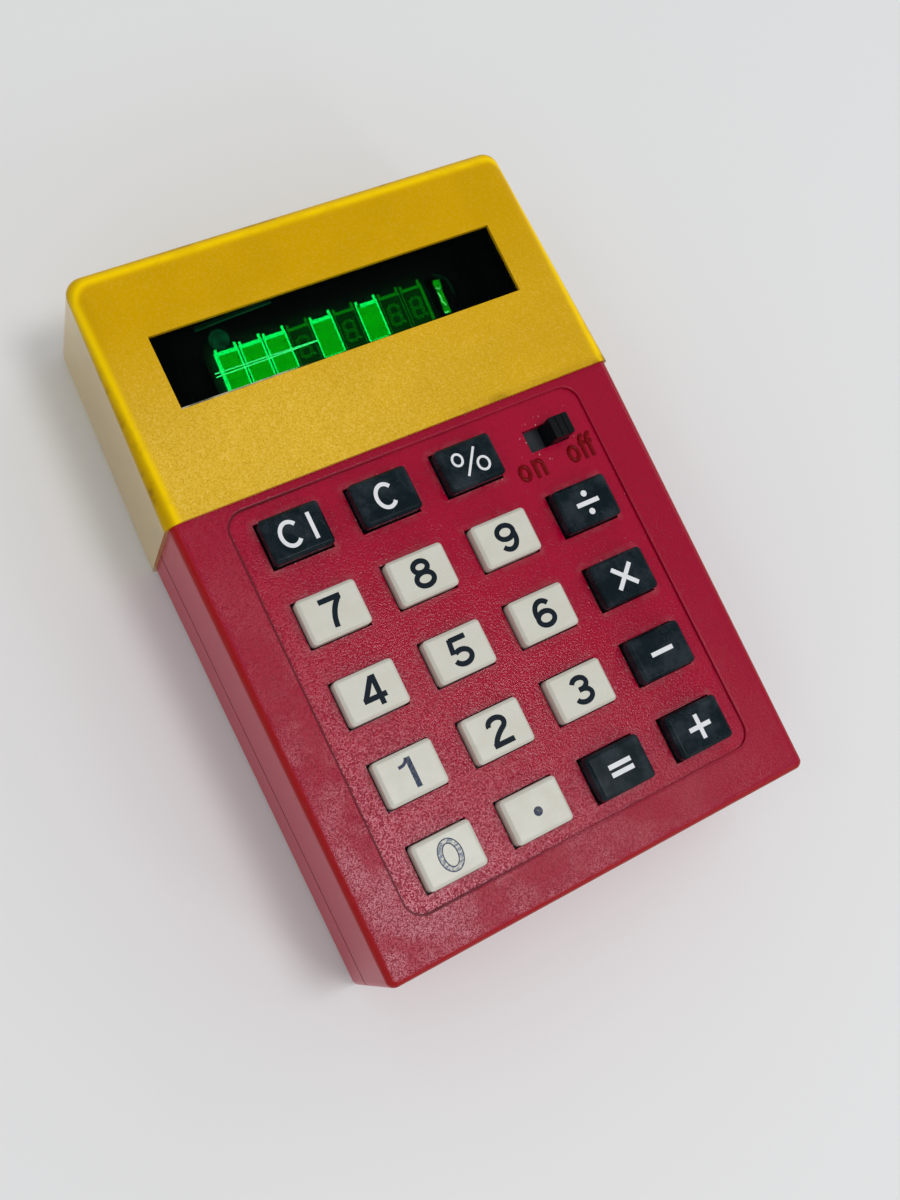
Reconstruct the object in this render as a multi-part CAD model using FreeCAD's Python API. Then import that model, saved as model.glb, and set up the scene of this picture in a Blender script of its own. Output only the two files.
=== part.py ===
import FreeCAD, Part
import math
import os

from FreeCAD import Vector

# Pocket calculator with a green vacuum fluorescent display, lying on its back.
# +X runs across the face to the right, +Y up the face to the display end, +Z out of the face.
# Lengths are in millimetres. The origin is under the middle of the outline, on the table.
# Distances named "along" are measured from the bottom end of the case towards the display end.

# Outline of the case and of the cap over its display end
total_length = 114.0
bottom_half_width = 37.9
mouth_half_width = 38.7
mouth_along = 73.1
cap_proud = 0.7
cap_draft_deg = 2.2
case_depth = 25.0
front_shell_depth = 15.3
case_wall = 2.0
case_front_round = 1.4
case_back_round = 2.0
case_end_round = 1.3
cap_wall = 1.6
cap_round = 2.8
neck_clearance = 0.1
parting_chamfer = 0.25
lap_height = 1.2
lap_gap = 0.05

# Key field: a sunk panel with four columns and five rows, and the switch in one corner
key_pitch_x = 15.0
key_pitch_y = 13.0
bottom_row_along = 13.2
key_field_x = 0.2
key_width = 9.8
key_height = 7.2
digit_key_stand = 2.3
dark_key_stand = 2.7
key_corner = 0.5
key_bevel = 0.55
key_gap = 0.2
flange_margin = 0.7
flange_thickness = 0.7
panel_width = 62.0
panel_low_along = 7.2
panel_high_along = 71.6
panel_sink = 0.4
panel_corner = 3.0

# Display: dark filter in the cap, tube behind it
window_width = 59.6
window_low_along = 88.9
window_high_along = 101.1
window_sink = 0.45
filter_flange_reach = 1.4
filter_flange_height = 15.2
filter_flange_thickness = 1.2
filter_seat_depth = 1.1
filter_gap = 0.1
neck_window_width = 63.6
neck_window_height = 17.0
digit_count = 9
digit_pitch = 4.1
first_digit_x = -18.6
grid_width = 3.6
grid_lean = 0.06
grid_low_along = 90.0
grid_high_along = 97.1

# Slide switch
slot_length = 7.2
slot_width = 3.8
knob_length = 3.6
knob_width = 3.6
knob_stand = 3.3
knob_travel = 3.4
knob_groove_pitch = 1.2
knob_groove_depth = 0.45
slide_plate_length = 11.4
slide_plate_width = 5.0
slide_plate_thickness = 0.7
switch_case_length = 11.2
switch_case_width = 6.0
switch_case_height = 2.6

# Power: two penlight cells lying across the case behind a door that slides off
cell_diameter = 14.5
cell_length = 50.5
nub_rise = 1.4
bay_half_length = 28.0
bay_low_along = 7.5
bay_high_along = 37.9
bay_wall = 1.2
door_half_width = 29.15
door_length = 40.0
door_thickness = 1.9
door_tongue = 1.1
rail_inner_x = 27.0
rail_outer_x = 34.0

# Screws that hold the shells together, their bosses, and the ribs between the keys
screw_x = 31.0
screw_along = 45.0
screw_radius = 1.4
screw_head_radius = 2.8
screw_head_height = 2.0
screw_seat_depth = 4.3
screw_recess_radius = 3.1
screw_hole_radius = 1.6
thread_hole_radius = 1.45
front_boss_radius = 3.0
rear_boss_radius = 3.6
rib_depth = 2.0
rib_thickness = 1.0

# Main board and the pegs that hold it
board_half_width = 34.4
board_low_along = 4.4
board_high_along = 84.6
peg_x = 31.8
peg_width = 1.8
peg_shoulder = 4.0

# Heights above the table
back_z = cap_proud
front_z = back_z + case_depth
cap_front_z = front_z + cap_proud
parting_z = front_z - front_shell_depth
panel_z = front_z - panel_sink
ceiling_z = front_z - case_wall
floor_z = back_z + case_wall
board_top_z = 19.9
board_thickness = 1.2
film_thickness = 0.15
dome_height = 0.85
dome_radius = 3.2
dome_top_z = board_top_z + film_thickness + dome_height
pin_bottom_z = dome_top_z + 0.1
partition_top_z = 18.5
partition_thickness = 1.0

end_y = -total_length / 2
mouth_y = end_y + mouth_along
case_end_y = end_y + total_length
cap_slope = math.tan(math.radians(cap_draft_deg))
columns = [key_field_x + (c - 1.5) * key_pitch_x for c in range(4)]
rows = [end_y + bottom_row_along + r * key_pitch_y for r in range(5)]


def along(distance):
    """The Y of a place measured from the bottom end of the case."""
    return end_y + distance


def block(x0, x1, y0, y1, z0, z1):
    """A box between two X, two Y and two Z, each pair in either order."""
    low = Vector(min(x0, x1), min(y0, y1), min(z0, z1))
    return Part.makeBox(abs(x1 - x0), abs(y1 - y0), abs(z1 - z0), low)


def centred_block(x, y, width, height, z0, z1):
    return block(x - width / 2, x + width / 2, y - height / 2, y + height / 2, z0, z1)


def square_post(x, y, z0, z1, width):
    return centred_block(x, y, width, width, z0, z1)


def post(x, y, z0, z1, radius):
    return Part.makeCylinder(radius, z1 - z0, Vector(x, y, z0))


def joined(first, *others):
    return first.fuse(list(others)).removeSplitter() if others else first


def pill(x, y, width, height, radius, z):
    """A rectangle with round corners, flat at height z and centred on (x, y)."""
    corners = [(1, 1, 0), (-1, 1, 90), (-1, -1, 180), (1, -1, 270)]
    edges = []
    last = None
    for sx, sy, start in corners:
        centre = Vector(x + sx * (width / 2 - radius), y + sy * (height / 2 - radius), z)
        arc = Part.makeCircle(radius, centre, Vector(0, 0, 1), start, start + 90)
        if last is not None:
            edges.append(Part.makeLine(last, arc.Vertexes[0].Point))
        edges.append(arc)
        last = arc.Vertexes[1].Point
    edges.append(Part.makeLine(last, edges[0].Vertexes[0].Point))
    return Part.Wire(edges)


def pill_block(x, y, width, height, radius, z0, z1):
    face = Part.Face(pill(x, y, width, height, radius, z0))
    return face.extrude(Vector(0, 0, z1 - z0))


def many_sided(x, y, radius, sides, z0, z1):
    """An upright prism with the given number of sides."""
    turn = 2 * math.pi / sides
    points = [
        Vector(x + radius * math.cos(turn * i), y + radius * math.sin(turn * i), z0)
        for i in range(sides + 1)
    ]
    return Part.Face(Part.makePolygon(points)).extrude(Vector(0, 0, z1 - z0))


def tapered(near_half, far_half, y0, y1, z0, z1):
    """A block across the case whose half-width changes evenly from y0 to y1."""
    corners = [
        Vector(-near_half, y0, z0),
        Vector(near_half, y0, z0),
        Vector(far_half, y1, z0),
        Vector(-far_half, y1, z0),
    ]
    return Part.Face(Part.makePolygon(corners + corners[:1])).extrude(Vector(0, 0, z1 - z0))


def long_edges(shape, z):
    """The edges that run up the case at height z."""
    found = []
    for edge in shape.Edges:
        bounds = edge.BoundBox
        if bounds.YLength > 10 and abs(bounds.ZMin - z) < 1e-4 and abs(bounds.ZMax - z) < 1e-4:
            found.append(edge)
    return found


def end_loop(shape, y):
    """The edges of a shape that lie in the plane across it at y."""
    return [e for e in shape.Edges if abs(e.BoundBox.YMin - y) < 1e-4 and abs(e.BoundBox.YMax - y) < 1e-4]


def end_edges(shape, x):
    """The edges of a shape that lie in the plane across it at x."""
    return [e for e in shape.Edges if abs(e.BoundBox.XMin - x) < 1e-4 and abs(e.BoundBox.XMax - x) < 1e-4]


def case_form(inset, y_far):
    """The red case from its bottom end to y_far. Inset, it is the square-cut room inside it."""
    slope = (mouth_half_width - bottom_half_width) / mouth_along
    y_near = end_y + inset
    near_half = bottom_half_width - inset + slope * inset
    far_half = bottom_half_width - inset + slope * (y_far - end_y)
    form = tapered(near_half, far_half, y_near, y_far, back_z + inset, front_z - inset)
    if inset == 0:
        form = form.makeFillet(case_front_round, long_edges(form, front_z))
        form = form.makeFillet(case_back_round, long_edges(form, back_z))
        form = form.makeFillet(case_end_round, end_loop(form, y_near))
    return form


def sleeve_form(inset, y_near):
    """The cap with its round closed end. Inset, it is the form inside it, cut at its corners."""
    y_far = case_end_y - inset
    mouth_half = mouth_half_width + cap_proud - inset
    near_half = mouth_half - cap_slope * (y_near - mouth_y)
    far_half = mouth_half - cap_slope * (y_far - mouth_y)
    low = inset
    high = cap_front_z - inset
    form = tapered(near_half, far_half, y_near, y_far, low, high)
    edges = long_edges(form, low) + long_edges(form, high) + end_loop(form, y_far)
    if inset == 0:
        return form.makeFillet(cap_round, edges)
    return form.makeChamfer(cap_round / 2, edges)


def both_shells():
    """The red case in one piece, with its neck under the cap, and the room inside it."""
    neck_inset = cap_wall + neck_clearance
    outside = joined(case_form(0, mouth_y), sleeve_form(neck_inset, mouth_y - 6))
    hollow = joined(
        case_form(case_wall, mouth_y - 1.2),
        sleeve_form(neck_inset + cap_wall, mouth_y - 8),
    )
    return outside, hollow


def parting_edges(shape):
    """The outer edges where the two shells meet, which the moulds leave slightly bevelled."""
    found = []
    for edge in shape.Edges:
        bounds = edge.BoundBox
        if abs(bounds.ZMin - parting_z) > 1e-4 or abs(bounds.ZMax - parting_z) > 1e-4:
            continue
        reach = max(abs(bounds.XMin), abs(bounds.XMax))
        outside = reach > bottom_half_width - 0.6 or bounds.YMin < end_y + 0.3
        if outside and bounds.YMax < mouth_y + 0.01:
            found.append(edge)
    return found


def lap_ring(gap):
    """The upstanding lip of the rear shell, inside the wall of the front shell."""
    middle = case_wall / 2
    outer = case_form(middle - gap, mouth_y - 3)
    inner = case_form(case_wall, mouth_y - 1)
    ring = outer.cut(inner)
    return ring.common(block(-50, 50, end_y - 5, mouth_y - 3, parting_z - 0.4, parting_z + lap_height + gap))


screw_places = [(side * screw_x, along(screw_along)) for side in (-1, 1)]
peg_places = [(side * peg_x, along(a)) for side in (-1, 1) for a in (6.6, 80.0)]
switch_x = columns[3]
switch_y = rows[4]
knob_rest_x = switch_x + knob_travel / 2


def key_places():
    """Name and centre of every key, bottom row first."""
    names = [
        ["0", "point", "equals", "plus"],
        ["1", "2", "3", "minus"],
        ["4", "5", "6", "times"],
        ["7", "8", "9", "divide"],
        ["clear_indicate", "clear", "percent"],
    ]
    return [
        ("key_" + name, columns[c], rows[r])
        for r, row in enumerate(names)
        for c, name in enumerate(row)
    ]


def make_front_shell(outside, hollow):
    shell = outside.cut(hollow)
    shell = shell.common(block(-50, 50, end_y - 5, case_end_y + 5, parting_z, front_z + 5))
    shell = shell.makeChamfer(parting_chamfer, parting_edges(shell))
    cuts = [lap_ring(lap_gap)]
    panel_middle = (panel_low_along + panel_high_along) / 2
    panel_height = panel_high_along - panel_low_along
    cuts.append(
        pill_block(0, along(panel_middle), panel_width, panel_height, panel_corner, panel_z, front_z + 1)
    )
    # Windows for the keys, the switch and the display
    for _, x, y in key_places():
        width = key_width + 2 * key_gap
        height = key_height + 2 * key_gap
        cuts.append(centred_block(x, y, width, height, ceiling_z - 0.5, front_z))
    cuts.append(centred_block(switch_x, switch_y, slot_length, slot_width, ceiling_z - 0.5, front_z))
    window_middle = along((window_low_along + window_high_along) / 2)
    cuts.append(
        centred_block(0, window_middle, neck_window_width, neck_window_height, ceiling_z - 2, front_z)
    )
    shell = shell.cut(cuts)
    # Stiffening ribs between the keys, cleared round the switch
    ribs = []
    rib_bottom = ceiling_z - rib_depth
    half = rib_thickness / 2
    for x in (columns[0] + key_pitch_x / 2, key_field_x, columns[3] - key_pitch_x / 2):
        ribs.append(block(x - half, x + half, along(5.0), along(73.0), rib_bottom, ceiling_z))
    for r in range(4):
        y = rows[r] + key_pitch_y / 2
        ribs.append(block(-30.5, 30.5, y - half, y + half, rib_bottom, ceiling_z))
    switch_room = block(13.6, 31.6, switch_y - 4.4, switch_y + 4.4, rib_bottom - 1, ceiling_z)
    ribs = [rib.cut(switch_room) for rib in ribs]
    # Bosses that take the case screws, and pegs melted over behind the board
    bosses = [post(x, y, parting_z, ceiling_z, front_boss_radius) for x, y in screw_places]
    board_low = board_top_z - board_thickness
    pegs = []
    for x, y in peg_places:
        pegs.append(square_post(x, y, board_top_z, ceiling_z, peg_shoulder))
        pegs.append(square_post(x, y, board_low, board_top_z, peg_width))
        pegs.append(square_post(x, y, board_low - 0.6, board_low, 1.7 * peg_width))
    shell = joined(shell, *ribs, *bosses, *pegs)
    return shell.cut([post(x, y, parting_z - 1, parting_z + 10, thread_hole_radius) for x, y in screw_places])


def door_block(side_gap, top_gap):
    """The space of the battery door: a plate with a tongue along each side."""
    half = door_half_width + side_gap
    far = along(door_length) + side_gap
    top = back_z + door_thickness + top_gap
    plate = block(-half, half, end_y - 2, far, back_z - 2, top)
    tongue_half = half + door_tongue
    tongue = block(-tongue_half, tongue_half, end_y - 2, far, back_z + 0.95 - top_gap, top)
    lip_far = along(case_wall) + side_gap / 2
    lip = block(-half, half, end_y - 2, lip_far, back_z - 2, back_z + 5.2 + side_gap)
    return joined(plate, tongue, lip)


def make_rear_shell(outside, hollow):
    shell = outside.cut(hollow)
    shell = shell.common(block(-50, 50, end_y - 5, case_end_y + 5, -5, parting_z))
    shell = shell.makeChamfer(parting_chamfer, parting_edges(shell))
    bay_low = along(bay_low_along)
    bay_high = along(bay_high_along)
    # Battery bay: a box open towards the back, standing on two rails that guide the door
    bay = block(
        -bay_half_length - bay_wall,
        bay_half_length + bay_wall,
        bay_low - bay_wall,
        bay_high + bay_wall,
        floor_z - 0.2,
        partition_top_z,
    )
    rail_low = back_z + 0.4
    rail_top = floor_z + 1.6
    rail_end = bay_high + 4.5
    rails = [
        block(s * rail_inner_x, s * rail_outer_x, along(1.0), rail_end, rail_low, rail_top) for s in (-1, 1)
    ]
    lintel = block(-rail_outer_x, rail_outer_x, bay_high + bay_wall - 0.2, rail_end, rail_low, rail_top)
    bosses = [post(x, y, floor_z - 0.5, parting_z, rear_boss_radius) for x, y in screw_places]
    # Posts that hold the display tray up against the front shell
    tray_posts = [
        block(x - 1.2, x + 1.2, along(91.5), along(97.5), cap_wall, tray_bottom_z) for x in (-30.5, 30.5)
    ]
    rest_pips = [post(s * 33.0, along(4.6), 0, back_z + 0.3, 2.0) for s in (-1, 1)]
    shell = joined(shell, bay, *rails, lintel, *bosses, *tray_posts, *rest_pips, lap_ring(0))
    room = block(
        -bay_half_length,
        bay_half_length,
        bay_low,
        bay_high,
        back_z - 1,
        partition_top_z - partition_thickness,
    )
    cuts = [room, door_block(0.15, 0.1)]
    for x, y in screw_places:
        cuts.append(post(x, y, back_z - 1, back_z + screw_seat_depth, screw_recess_radius))
        cuts.append(post(x, y, back_z, parting_z + 1, screw_hole_radius))
    # Slots for the tails of the battery contacts
    for x, y in contact_tails():
        cuts.append(centred_block(x, y, 1.2, 3.2, partition_top_z - 3, partition_top_z + 1))
    return shell.cut(cuts)


def make_battery_door(outside):
    """Door cut from the outer form, so that its rounds run on from the rear shell's."""
    door = outside.common(door_block(0, 0))
    # Finger ridges across the plate, near its far end
    ridges = []
    for i in range(6):
        y = along(24.0 + i * 1.8)
        groove = Part.makeCylinder(0.45, 24, Vector(-12, y, back_z - 0.12), Vector(1, 0, 0))
        ridges.append(groove)
    # An arrowhead sunk in the plate, pointing the way the door slides
    tip = Vector(0, along(13.0), back_z - 1)
    left = Vector(-3.6, along(18.5), back_z - 1)
    right = Vector(3.6, along(18.5), back_z - 1)
    arrow = Part.Face(Part.makePolygon([tip, right, left, tip])).extrude(Vector(0, 0, 1.3))
    return door.cut(ridges + [arrow])


def make_display_cap():
    cap = sleeve_form(0, mouth_y)
    cap = cap.cut(sleeve_form(cap_wall, mouth_y - 1))
    middle = along((window_low_along + window_high_along) / 2)
    height = window_high_along - window_low_along
    opening = centred_block(0, middle, window_width, height, cap_front_z - 3, cap_front_z + 1)
    # A shallow seat behind the opening takes the flange of the filter
    seat_width = window_width + 2 * (filter_flange_reach + filter_gap)
    seat_height = filter_flange_height + 2 * filter_gap
    seat_low = cap_front_z - cap_wall - 0.5
    seat_high = cap_front_z - filter_seat_depth
    seat = pill_block(0, middle, seat_width, seat_height, 1.0, seat_low, seat_high)
    return cap.cut([opening, seat])


def make_display_window():
    middle = along((window_low_along + window_high_along) / 2)
    window_height = window_high_along - window_low_along
    flange_top = cap_front_z - filter_seat_depth
    flange_low = flange_top - filter_flange_thickness
    flange_width = window_width + 2 * filter_flange_reach
    flange = pill_block(0, middle, flange_width, filter_flange_height, 0.9, flange_low, flange_top)
    pane = centred_block(
        0,
        middle,
        window_width - filter_gap,
        window_height - filter_gap,
        flange_top - 0.5,
        cap_front_z - window_sink,
    )
    return joined(flange, pane)


def make_key(x, y, stand):
    """One moulded key: bevelled top, straight skirt, flange under the panel, and a pin."""
    key_top_z = panel_z + stand
    flange_top = ceiling_z - 0.05
    flange_bottom = flange_top - flange_thickness
    body = centred_block(x, y, key_width, key_height, flange_bottom, key_top_z)
    body = body.makeChamfer(key_corner, [e for e in body.Edges if e.BoundBox.ZLength > 1])
    body = body.makeChamfer(key_bevel, [e for e in body.Edges if e.BoundBox.ZMin > key_top_z - 0.1])
    flange = centred_block(
        x,
        y,
        key_width + 2 * flange_margin,
        key_height + 2 * flange_margin,
        flange_bottom,
        flange_top,
    )
    pin = square_post(x, y, pin_bottom_z, flange_bottom, 2.2)
    return joined(body, flange, pin)


def make_dome_sheet():
    """Contact film on the board, with a snap dome under every key."""
    low = along(6.9) + 2.0
    film = block(-31.0, 31.0, low, along(71.8), board_top_z, board_top_z + film_thickness)
    cuts = [block(14.8, 40, switch_y - 5.0, 100, board_top_z - 1, board_top_z + 1)]
    cuts += [square_post(x, y, board_top_z - 1, board_top_z + 1, 6.8) for x, y in screw_places]
    domes = []
    for _, x, y in key_places():
        foot_z = board_top_z + film_thickness
        dome = many_sided(x, y, dome_radius, 8, foot_z, foot_z + dome_height)
        top = [e for e in dome.Edges if e.BoundBox.ZMin > foot_z + dome_height / 2]
        domes.append(dome.makeChamfer(0.7 * dome_height, top))
    return joined(film.cut(cuts), *domes)


def make_main_board():
    """Board in one plane, notched at both sides for the case screws' bosses."""
    board = block(
        -board_half_width,
        board_half_width,
        along(board_low_along),
        along(board_high_along),
        board_top_z - board_thickness,
        board_top_z,
    )
    cuts = []
    notch = front_boss_radius + 0.6
    for side in (-1, 1):
        y = along(screw_along)
        cuts.append(block(side * (screw_x - notch), side * 40, y - notch, y + notch, 0, 30))
    cuts += [square_post(x, y, 0, 30, peg_width + 0.1) for x, y in peg_places]
    return board.cut(cuts)


def make_switch_body():
    top = board_top_z + switch_case_height
    body = centred_block(switch_x, switch_y, switch_case_length, switch_case_width, board_top_z, top)
    well = centred_block(switch_x, switch_y, 7.8, 2.6, board_top_z + 0.8, top + 0.4)
    return body.cut(well)


def make_switch_knob():
    """Knob with three ribs across its top, on a plate that hides the slot at both ends."""
    x = knob_rest_x
    y = switch_y
    top_z = panel_z + knob_stand
    plate_top = ceiling_z - 0.1
    plate_low = plate_top - slide_plate_thickness
    plate = centred_block(x, y, slide_plate_length, slide_plate_width, plate_low, plate_top)
    body = centred_block(x, y, knob_length, knob_width, plate_top - 0.1, top_z)
    stem = centred_block(x, y, 3.0, 2.2, board_top_z + 1.0, plate_low + 0.1)
    knob = joined(plate, body, stem)
    grooves = []
    for side in (-1, 1):
        bottom = Vector(x + side * knob_groove_pitch / 2, y - 3, top_z - knob_groove_depth)
        left = bottom + Vector(-0.42, 0, knob_groove_depth + 0.1)
        right = bottom + Vector(0.42, 0, knob_groove_depth + 0.1)
        outline = Part.makePolygon([bottom, right, left, bottom])
        grooves.append(Part.Face(outline).extrude(Vector(0, 6, 0)))
    return knob.cut(grooves)


# Display tube: a glass cover sealed on a glass base, with grids and heaters between them
tube_x0 = -26.0
tube_x1 = 23.0
tube_y0 = along(87.0)
tube_y1 = along(101.6)
tube_base_z = 18.5
tube_seal_z = 20.4
tube_front_z = 23.5
tube_wall = 0.8
grid_z = 21.3
wire_z = 21.9
tray_bottom_z = 17.4


def digit_x(index):
    return first_digit_x + index * digit_pitch


def leaning(x0, x1, y0, y1, z0, z1):
    """A thin plate that leans to the right as the figures of the display do."""
    foot = along(grid_low_along)
    corners = [
        Vector(x + grid_lean * (y - foot), y, z0) for x, y in ((x0, y0), (x1, y0), (x1, y1), (x0, y1))
    ]
    return Part.Face(Part.makePolygon(corners + corners[:1])).extrude(Vector(0, 0, z1 - z0))


def make_tube_cover():
    cover = block(tube_x0, tube_x1, tube_y0, tube_y1, tube_seal_z, tube_front_z)
    cover = cover.makeChamfer(0.7, [e for e in cover.Edges if e.BoundBox.ZMin > tube_seal_z + 0.1])
    inside = block(
        tube_x0 + tube_wall,
        tube_x1 - tube_wall,
        tube_y0 + tube_wall,
        tube_y1 - tube_wall,
        tube_seal_z - 1,
        tube_front_z - tube_wall,
    )
    # The nib left where the glass was sealed off
    nib_end = tube_x1 + 2.6
    nib = block(tube_x1 - 0.4, nib_end, along(93.4), along(94.6), tube_seal_z + 0.9, tube_seal_z + 2.1)
    nib = nib.makeChamfer(0.4, end_edges(nib, nib_end))
    return joined(cover, nib).cut(inside)


def make_tube_base():
    return block(tube_x0 - 0.7, tube_x1 + 0.7, tube_y0 - 0.7, tube_y1 + 0.7, tube_base_z, tube_seal_z)


def make_tube_grids():
    """Nine thin frames, one over each digit, each with two feet and two horns at its top."""
    grids = []
    low = along(grid_low_along)
    high = along(grid_high_along)
    for i in range(digit_count):
        x0 = digit_x(i) - grid_width / 2
        x1 = digit_x(i) + grid_width / 2
        top = grid_z + 0.12
        frame = leaning(x0, x1, low, high, grid_z, top)
        frame = frame.cut(leaning(x0 + 0.25, x1 - 0.25, low + 0.25, high - 0.25, grid_z - 1, grid_z + 1))
        tabs = [leaning(x0, x0 + 0.7, high, high + 0.8, grid_z, top)]
        tabs.append(leaning(x1 - 0.7, x1, high, high + 0.8, grid_z, top))
        tabs.append(leaning(x0, x0 + 0.5, high + 0.6, high + 0.8, tube_seal_z, top))
        tabs.append(leaning(x1 - 0.5, x1, low - 0.2, low, tube_seal_z, top))
        grids.append(joined(frame, *tabs))
    return Part.makeCompound(grids)


def make_filament_supports():
    """Stamped ends that hold the heater wires tight."""
    supports = []
    for x, s in ((digit_x(0) - 3.6, -1), (digit_x(digit_count - 1) + 3.6, 1)):
        foot = block(x, x + s * 1.6, along(90.4), along(97.6), tube_seal_z, tube_seal_z + 0.2)
        wall = block(x, x + s * 0.2, along(90.4), along(97.6), tube_seal_z, wire_z)
        supports.append(joined(foot, wall))
    return Part.makeCompound(supports)


def make_filament_wires():
    """Two hair-thin heater wires across the whole tube."""
    half = 0.06
    x0 = digit_x(0) - 3.6
    x1 = digit_x(digit_count - 1) + 3.6
    wires = []
    for a in (92.0, 95.2):
        y = along(a)
        wires.append(block(x0, x1, y - half, y + half, wire_z + 0.02, wire_z + 0.02 + 2 * half))
    return Part.makeCompound(wires)


def make_getter():
    """Pan that clears the last gas from the tube, on its strip beside the first digit."""
    x, y = -18.6, along(98.9)
    top = tube_seal_z + 1.75
    pan = many_sided(x, y, 1.6, 16, top - 0.6, top)
    pan = pan.cut(many_sided(x, y, 1.2, 16, top - 0.3, top + 1))
    strip = block(x - 0.3, x + 0.3, y + 1.0, y + 1.5, tube_seal_z, top - 0.4)
    return joined(pan, strip)


def make_tube_leads():
    """Flat leads from the seal of the tube down to the edge of the board."""
    leads = []
    for i in range(18):
        x = -22.4 + i * 2.5
        leads.append(block(x - 0.25, x + 0.25, along(82.6), tube_y0 - 0.7, board_top_z, board_top_z + 0.2))
    return Part.makeCompound(leads)


def make_tube_holder():
    """Black tray round the tube, with a slot along its lower wall for the leads."""
    tray = block(-33.0, 33.0, along(85.0), along(105.2), tray_bottom_z, ceiling_z - 1.05)
    room = block(tube_x0 - 0.9, tube_x1 + 4.0, tube_y0 - 0.8, tube_y1 + 0.8, tube_base_z, 40)
    side_rooms = [
        block(-31.6, tube_x0 - 2.2, along(86.6), along(103.6), tube_base_z + 1, 40),
        block(tube_x1 + 5.2, 31.6, along(86.6), along(103.6), tube_base_z + 1, 40),
    ]
    comb = block(-24.0, 21.5, along(84.0), tube_y0, tube_base_z + 0.9, tube_seal_z + 0.3)
    return tray.cut([room, comb] + side_rooms)


def make_calculator_chip():
    """Dual in-line chip on the underside of the board."""
    x, y = -9.0, along(68.0)
    top = board_top_z - board_thickness
    body = block(x - 15.5, x + 15.5, y - 6.8, y + 6.8, top - 4.4, top - 0.6)
    notch = Part.makeCylinder(1.2, 0.6, Vector(x - 15.5, y, top - 4.5))
    legs = []
    for i in range(12):
        leg_x = x + (i - 5.5) * 2.54
        for s in (-1, 1):
            legs.append(block(leg_x - 0.3, leg_x + 0.3, y + s * 6.7, y + s * 7.9, top - 2.6, top))
    return joined(body.cut(notch), *legs)


def make_converter_coil():
    """Small transformer that steps the battery voltage up for the tube."""
    x, y = 22.0, along(58.5)
    top = board_top_z - board_thickness
    flanges = [block(x - 6.5, x + 6.5, y - 6.0, y + 6.0, z, z + 1.4) for z in (top - 10.4, top - 1.6)]
    core = square_post(x, y, top - 9.1, top - 1.5, 5.0)
    winding = post(x, y, top - 9.0, top - 1.6, 5.4).cut(core)
    pins = [square_post(x + a, y + b, top - 0.3, top, 0.6) for a in (-5, 5) for b in (-4.5, 4.5)]
    return joined(*flanges, core, *pins), winding


def make_capacitors():
    """Three electrolytic cans lying under the board, each on two short leads."""
    top = board_top_z - board_thickness
    cans = []
    for x, y, radius, length in ((20.0, 45.2, 3.0, 11.0), (-2.0, 45.6, 4.0, 12.5), (18.5, 76.0, 3.4, 12.0)):
        axis_z = top - radius - 0.4
        can = Part.makeCylinder(radius, length, Vector(x - length / 2, along(y), axis_z), Vector(1, 0, 0))
        leads = []
        for s in (-1, 1):
            near = x + s * (length / 2 - 0.2)
            far = x + s * (length / 2 + 1.2)
            leads.append(block(near, far, along(y) - 0.3, along(y) + 0.3, axis_z - 0.3, axis_z + 0.3))
            leads.append(square_post(far, along(y), axis_z - 0.3, top, 0.6))
        cans.append(joined(can, *leads))
    return Part.makeCompound(cans)


def axial_part(x, y, radius, length):
    """A small part lying along Y under the board, with a wire out of each end bent up into it."""
    top = board_top_z - board_thickness
    z = top - radius - 0.5
    barrel = many_sided(0, 0, radius, 8, 0, length)
    barrel.rotate(Vector(0, 0, 0), Vector(1, 0, 0), -90)
    barrel.translate(Vector(x, y - length / 2, z))
    reach = length / 2 + 1.6
    parts = [barrel, block(x - 0.25, x + 0.25, y - reach, y + reach, z - 0.25, z + 0.25)]
    for s in (-1, 1):
        parts.append(square_post(x, y + s * (reach - 0.25), z, top, 0.5))
    return joined(*parts)


def make_resistors():
    return Part.makeCompound([axial_part(-30.0 + i * 4.2, along(54.0), 1.15, 6.2) for i in range(5)])


def make_diodes():
    return Part.makeCompound([axial_part(-4.0 + i * 3.2, along(54.6), 0.95, 4.2) for i in range(3)])


def make_transistors():
    """Two switching transistors beside the converter coil, flat on one side."""
    top = board_top_z - board_thickness
    bodies = []
    for x, y in ((9.0, 57.0), (9.0, 51.0)):
        can = post(x, along(y), top - 6.6, top - 1.8, 2.3)
        can = can.cut(block(x - 3, x + 3, along(y) - 3, along(y) - 1.3, top - 8, top))
        legs = [square_post(x + a, along(y), top - 1.9, top, 0.44) for a in (-1.27, 0, 1.27)]
        bodies.append(joined(can, *legs))
    return Part.makeCompound(bodies)


def cell_places():
    """Centre line of each cell, and the side its positive end points to."""
    radius = cell_diameter / 2
    z = back_z + door_thickness + 0.25 + radius
    return [(along(bay_low_along + 0.2 + radius), z, 1), (along(bay_high_along - 0.2 - radius), z, -1)]


def make_cell(y, z, side):
    """A penlight cell across the case, its raised contact towards the given side."""
    way = Vector(side, 0, 0)
    radius = cell_diameter / 2
    can = Part.makeCylinder(radius, cell_length - nub_rise, Vector(-side * cell_length / 2, y, z), way)
    nub_start = side * (cell_length / 2 - nub_rise - 0.3)
    nub = Part.makeCylinder(2.6, nub_rise + 0.3, Vector(nub_start, y, z), way)
    return joined(can, nub)


def contact_tails():
    """Where the contact strips pass through the roof of the bay."""
    return [(s * 27.3, y) for s in (-1, 1) for y, _, _ in cell_places()]


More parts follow.
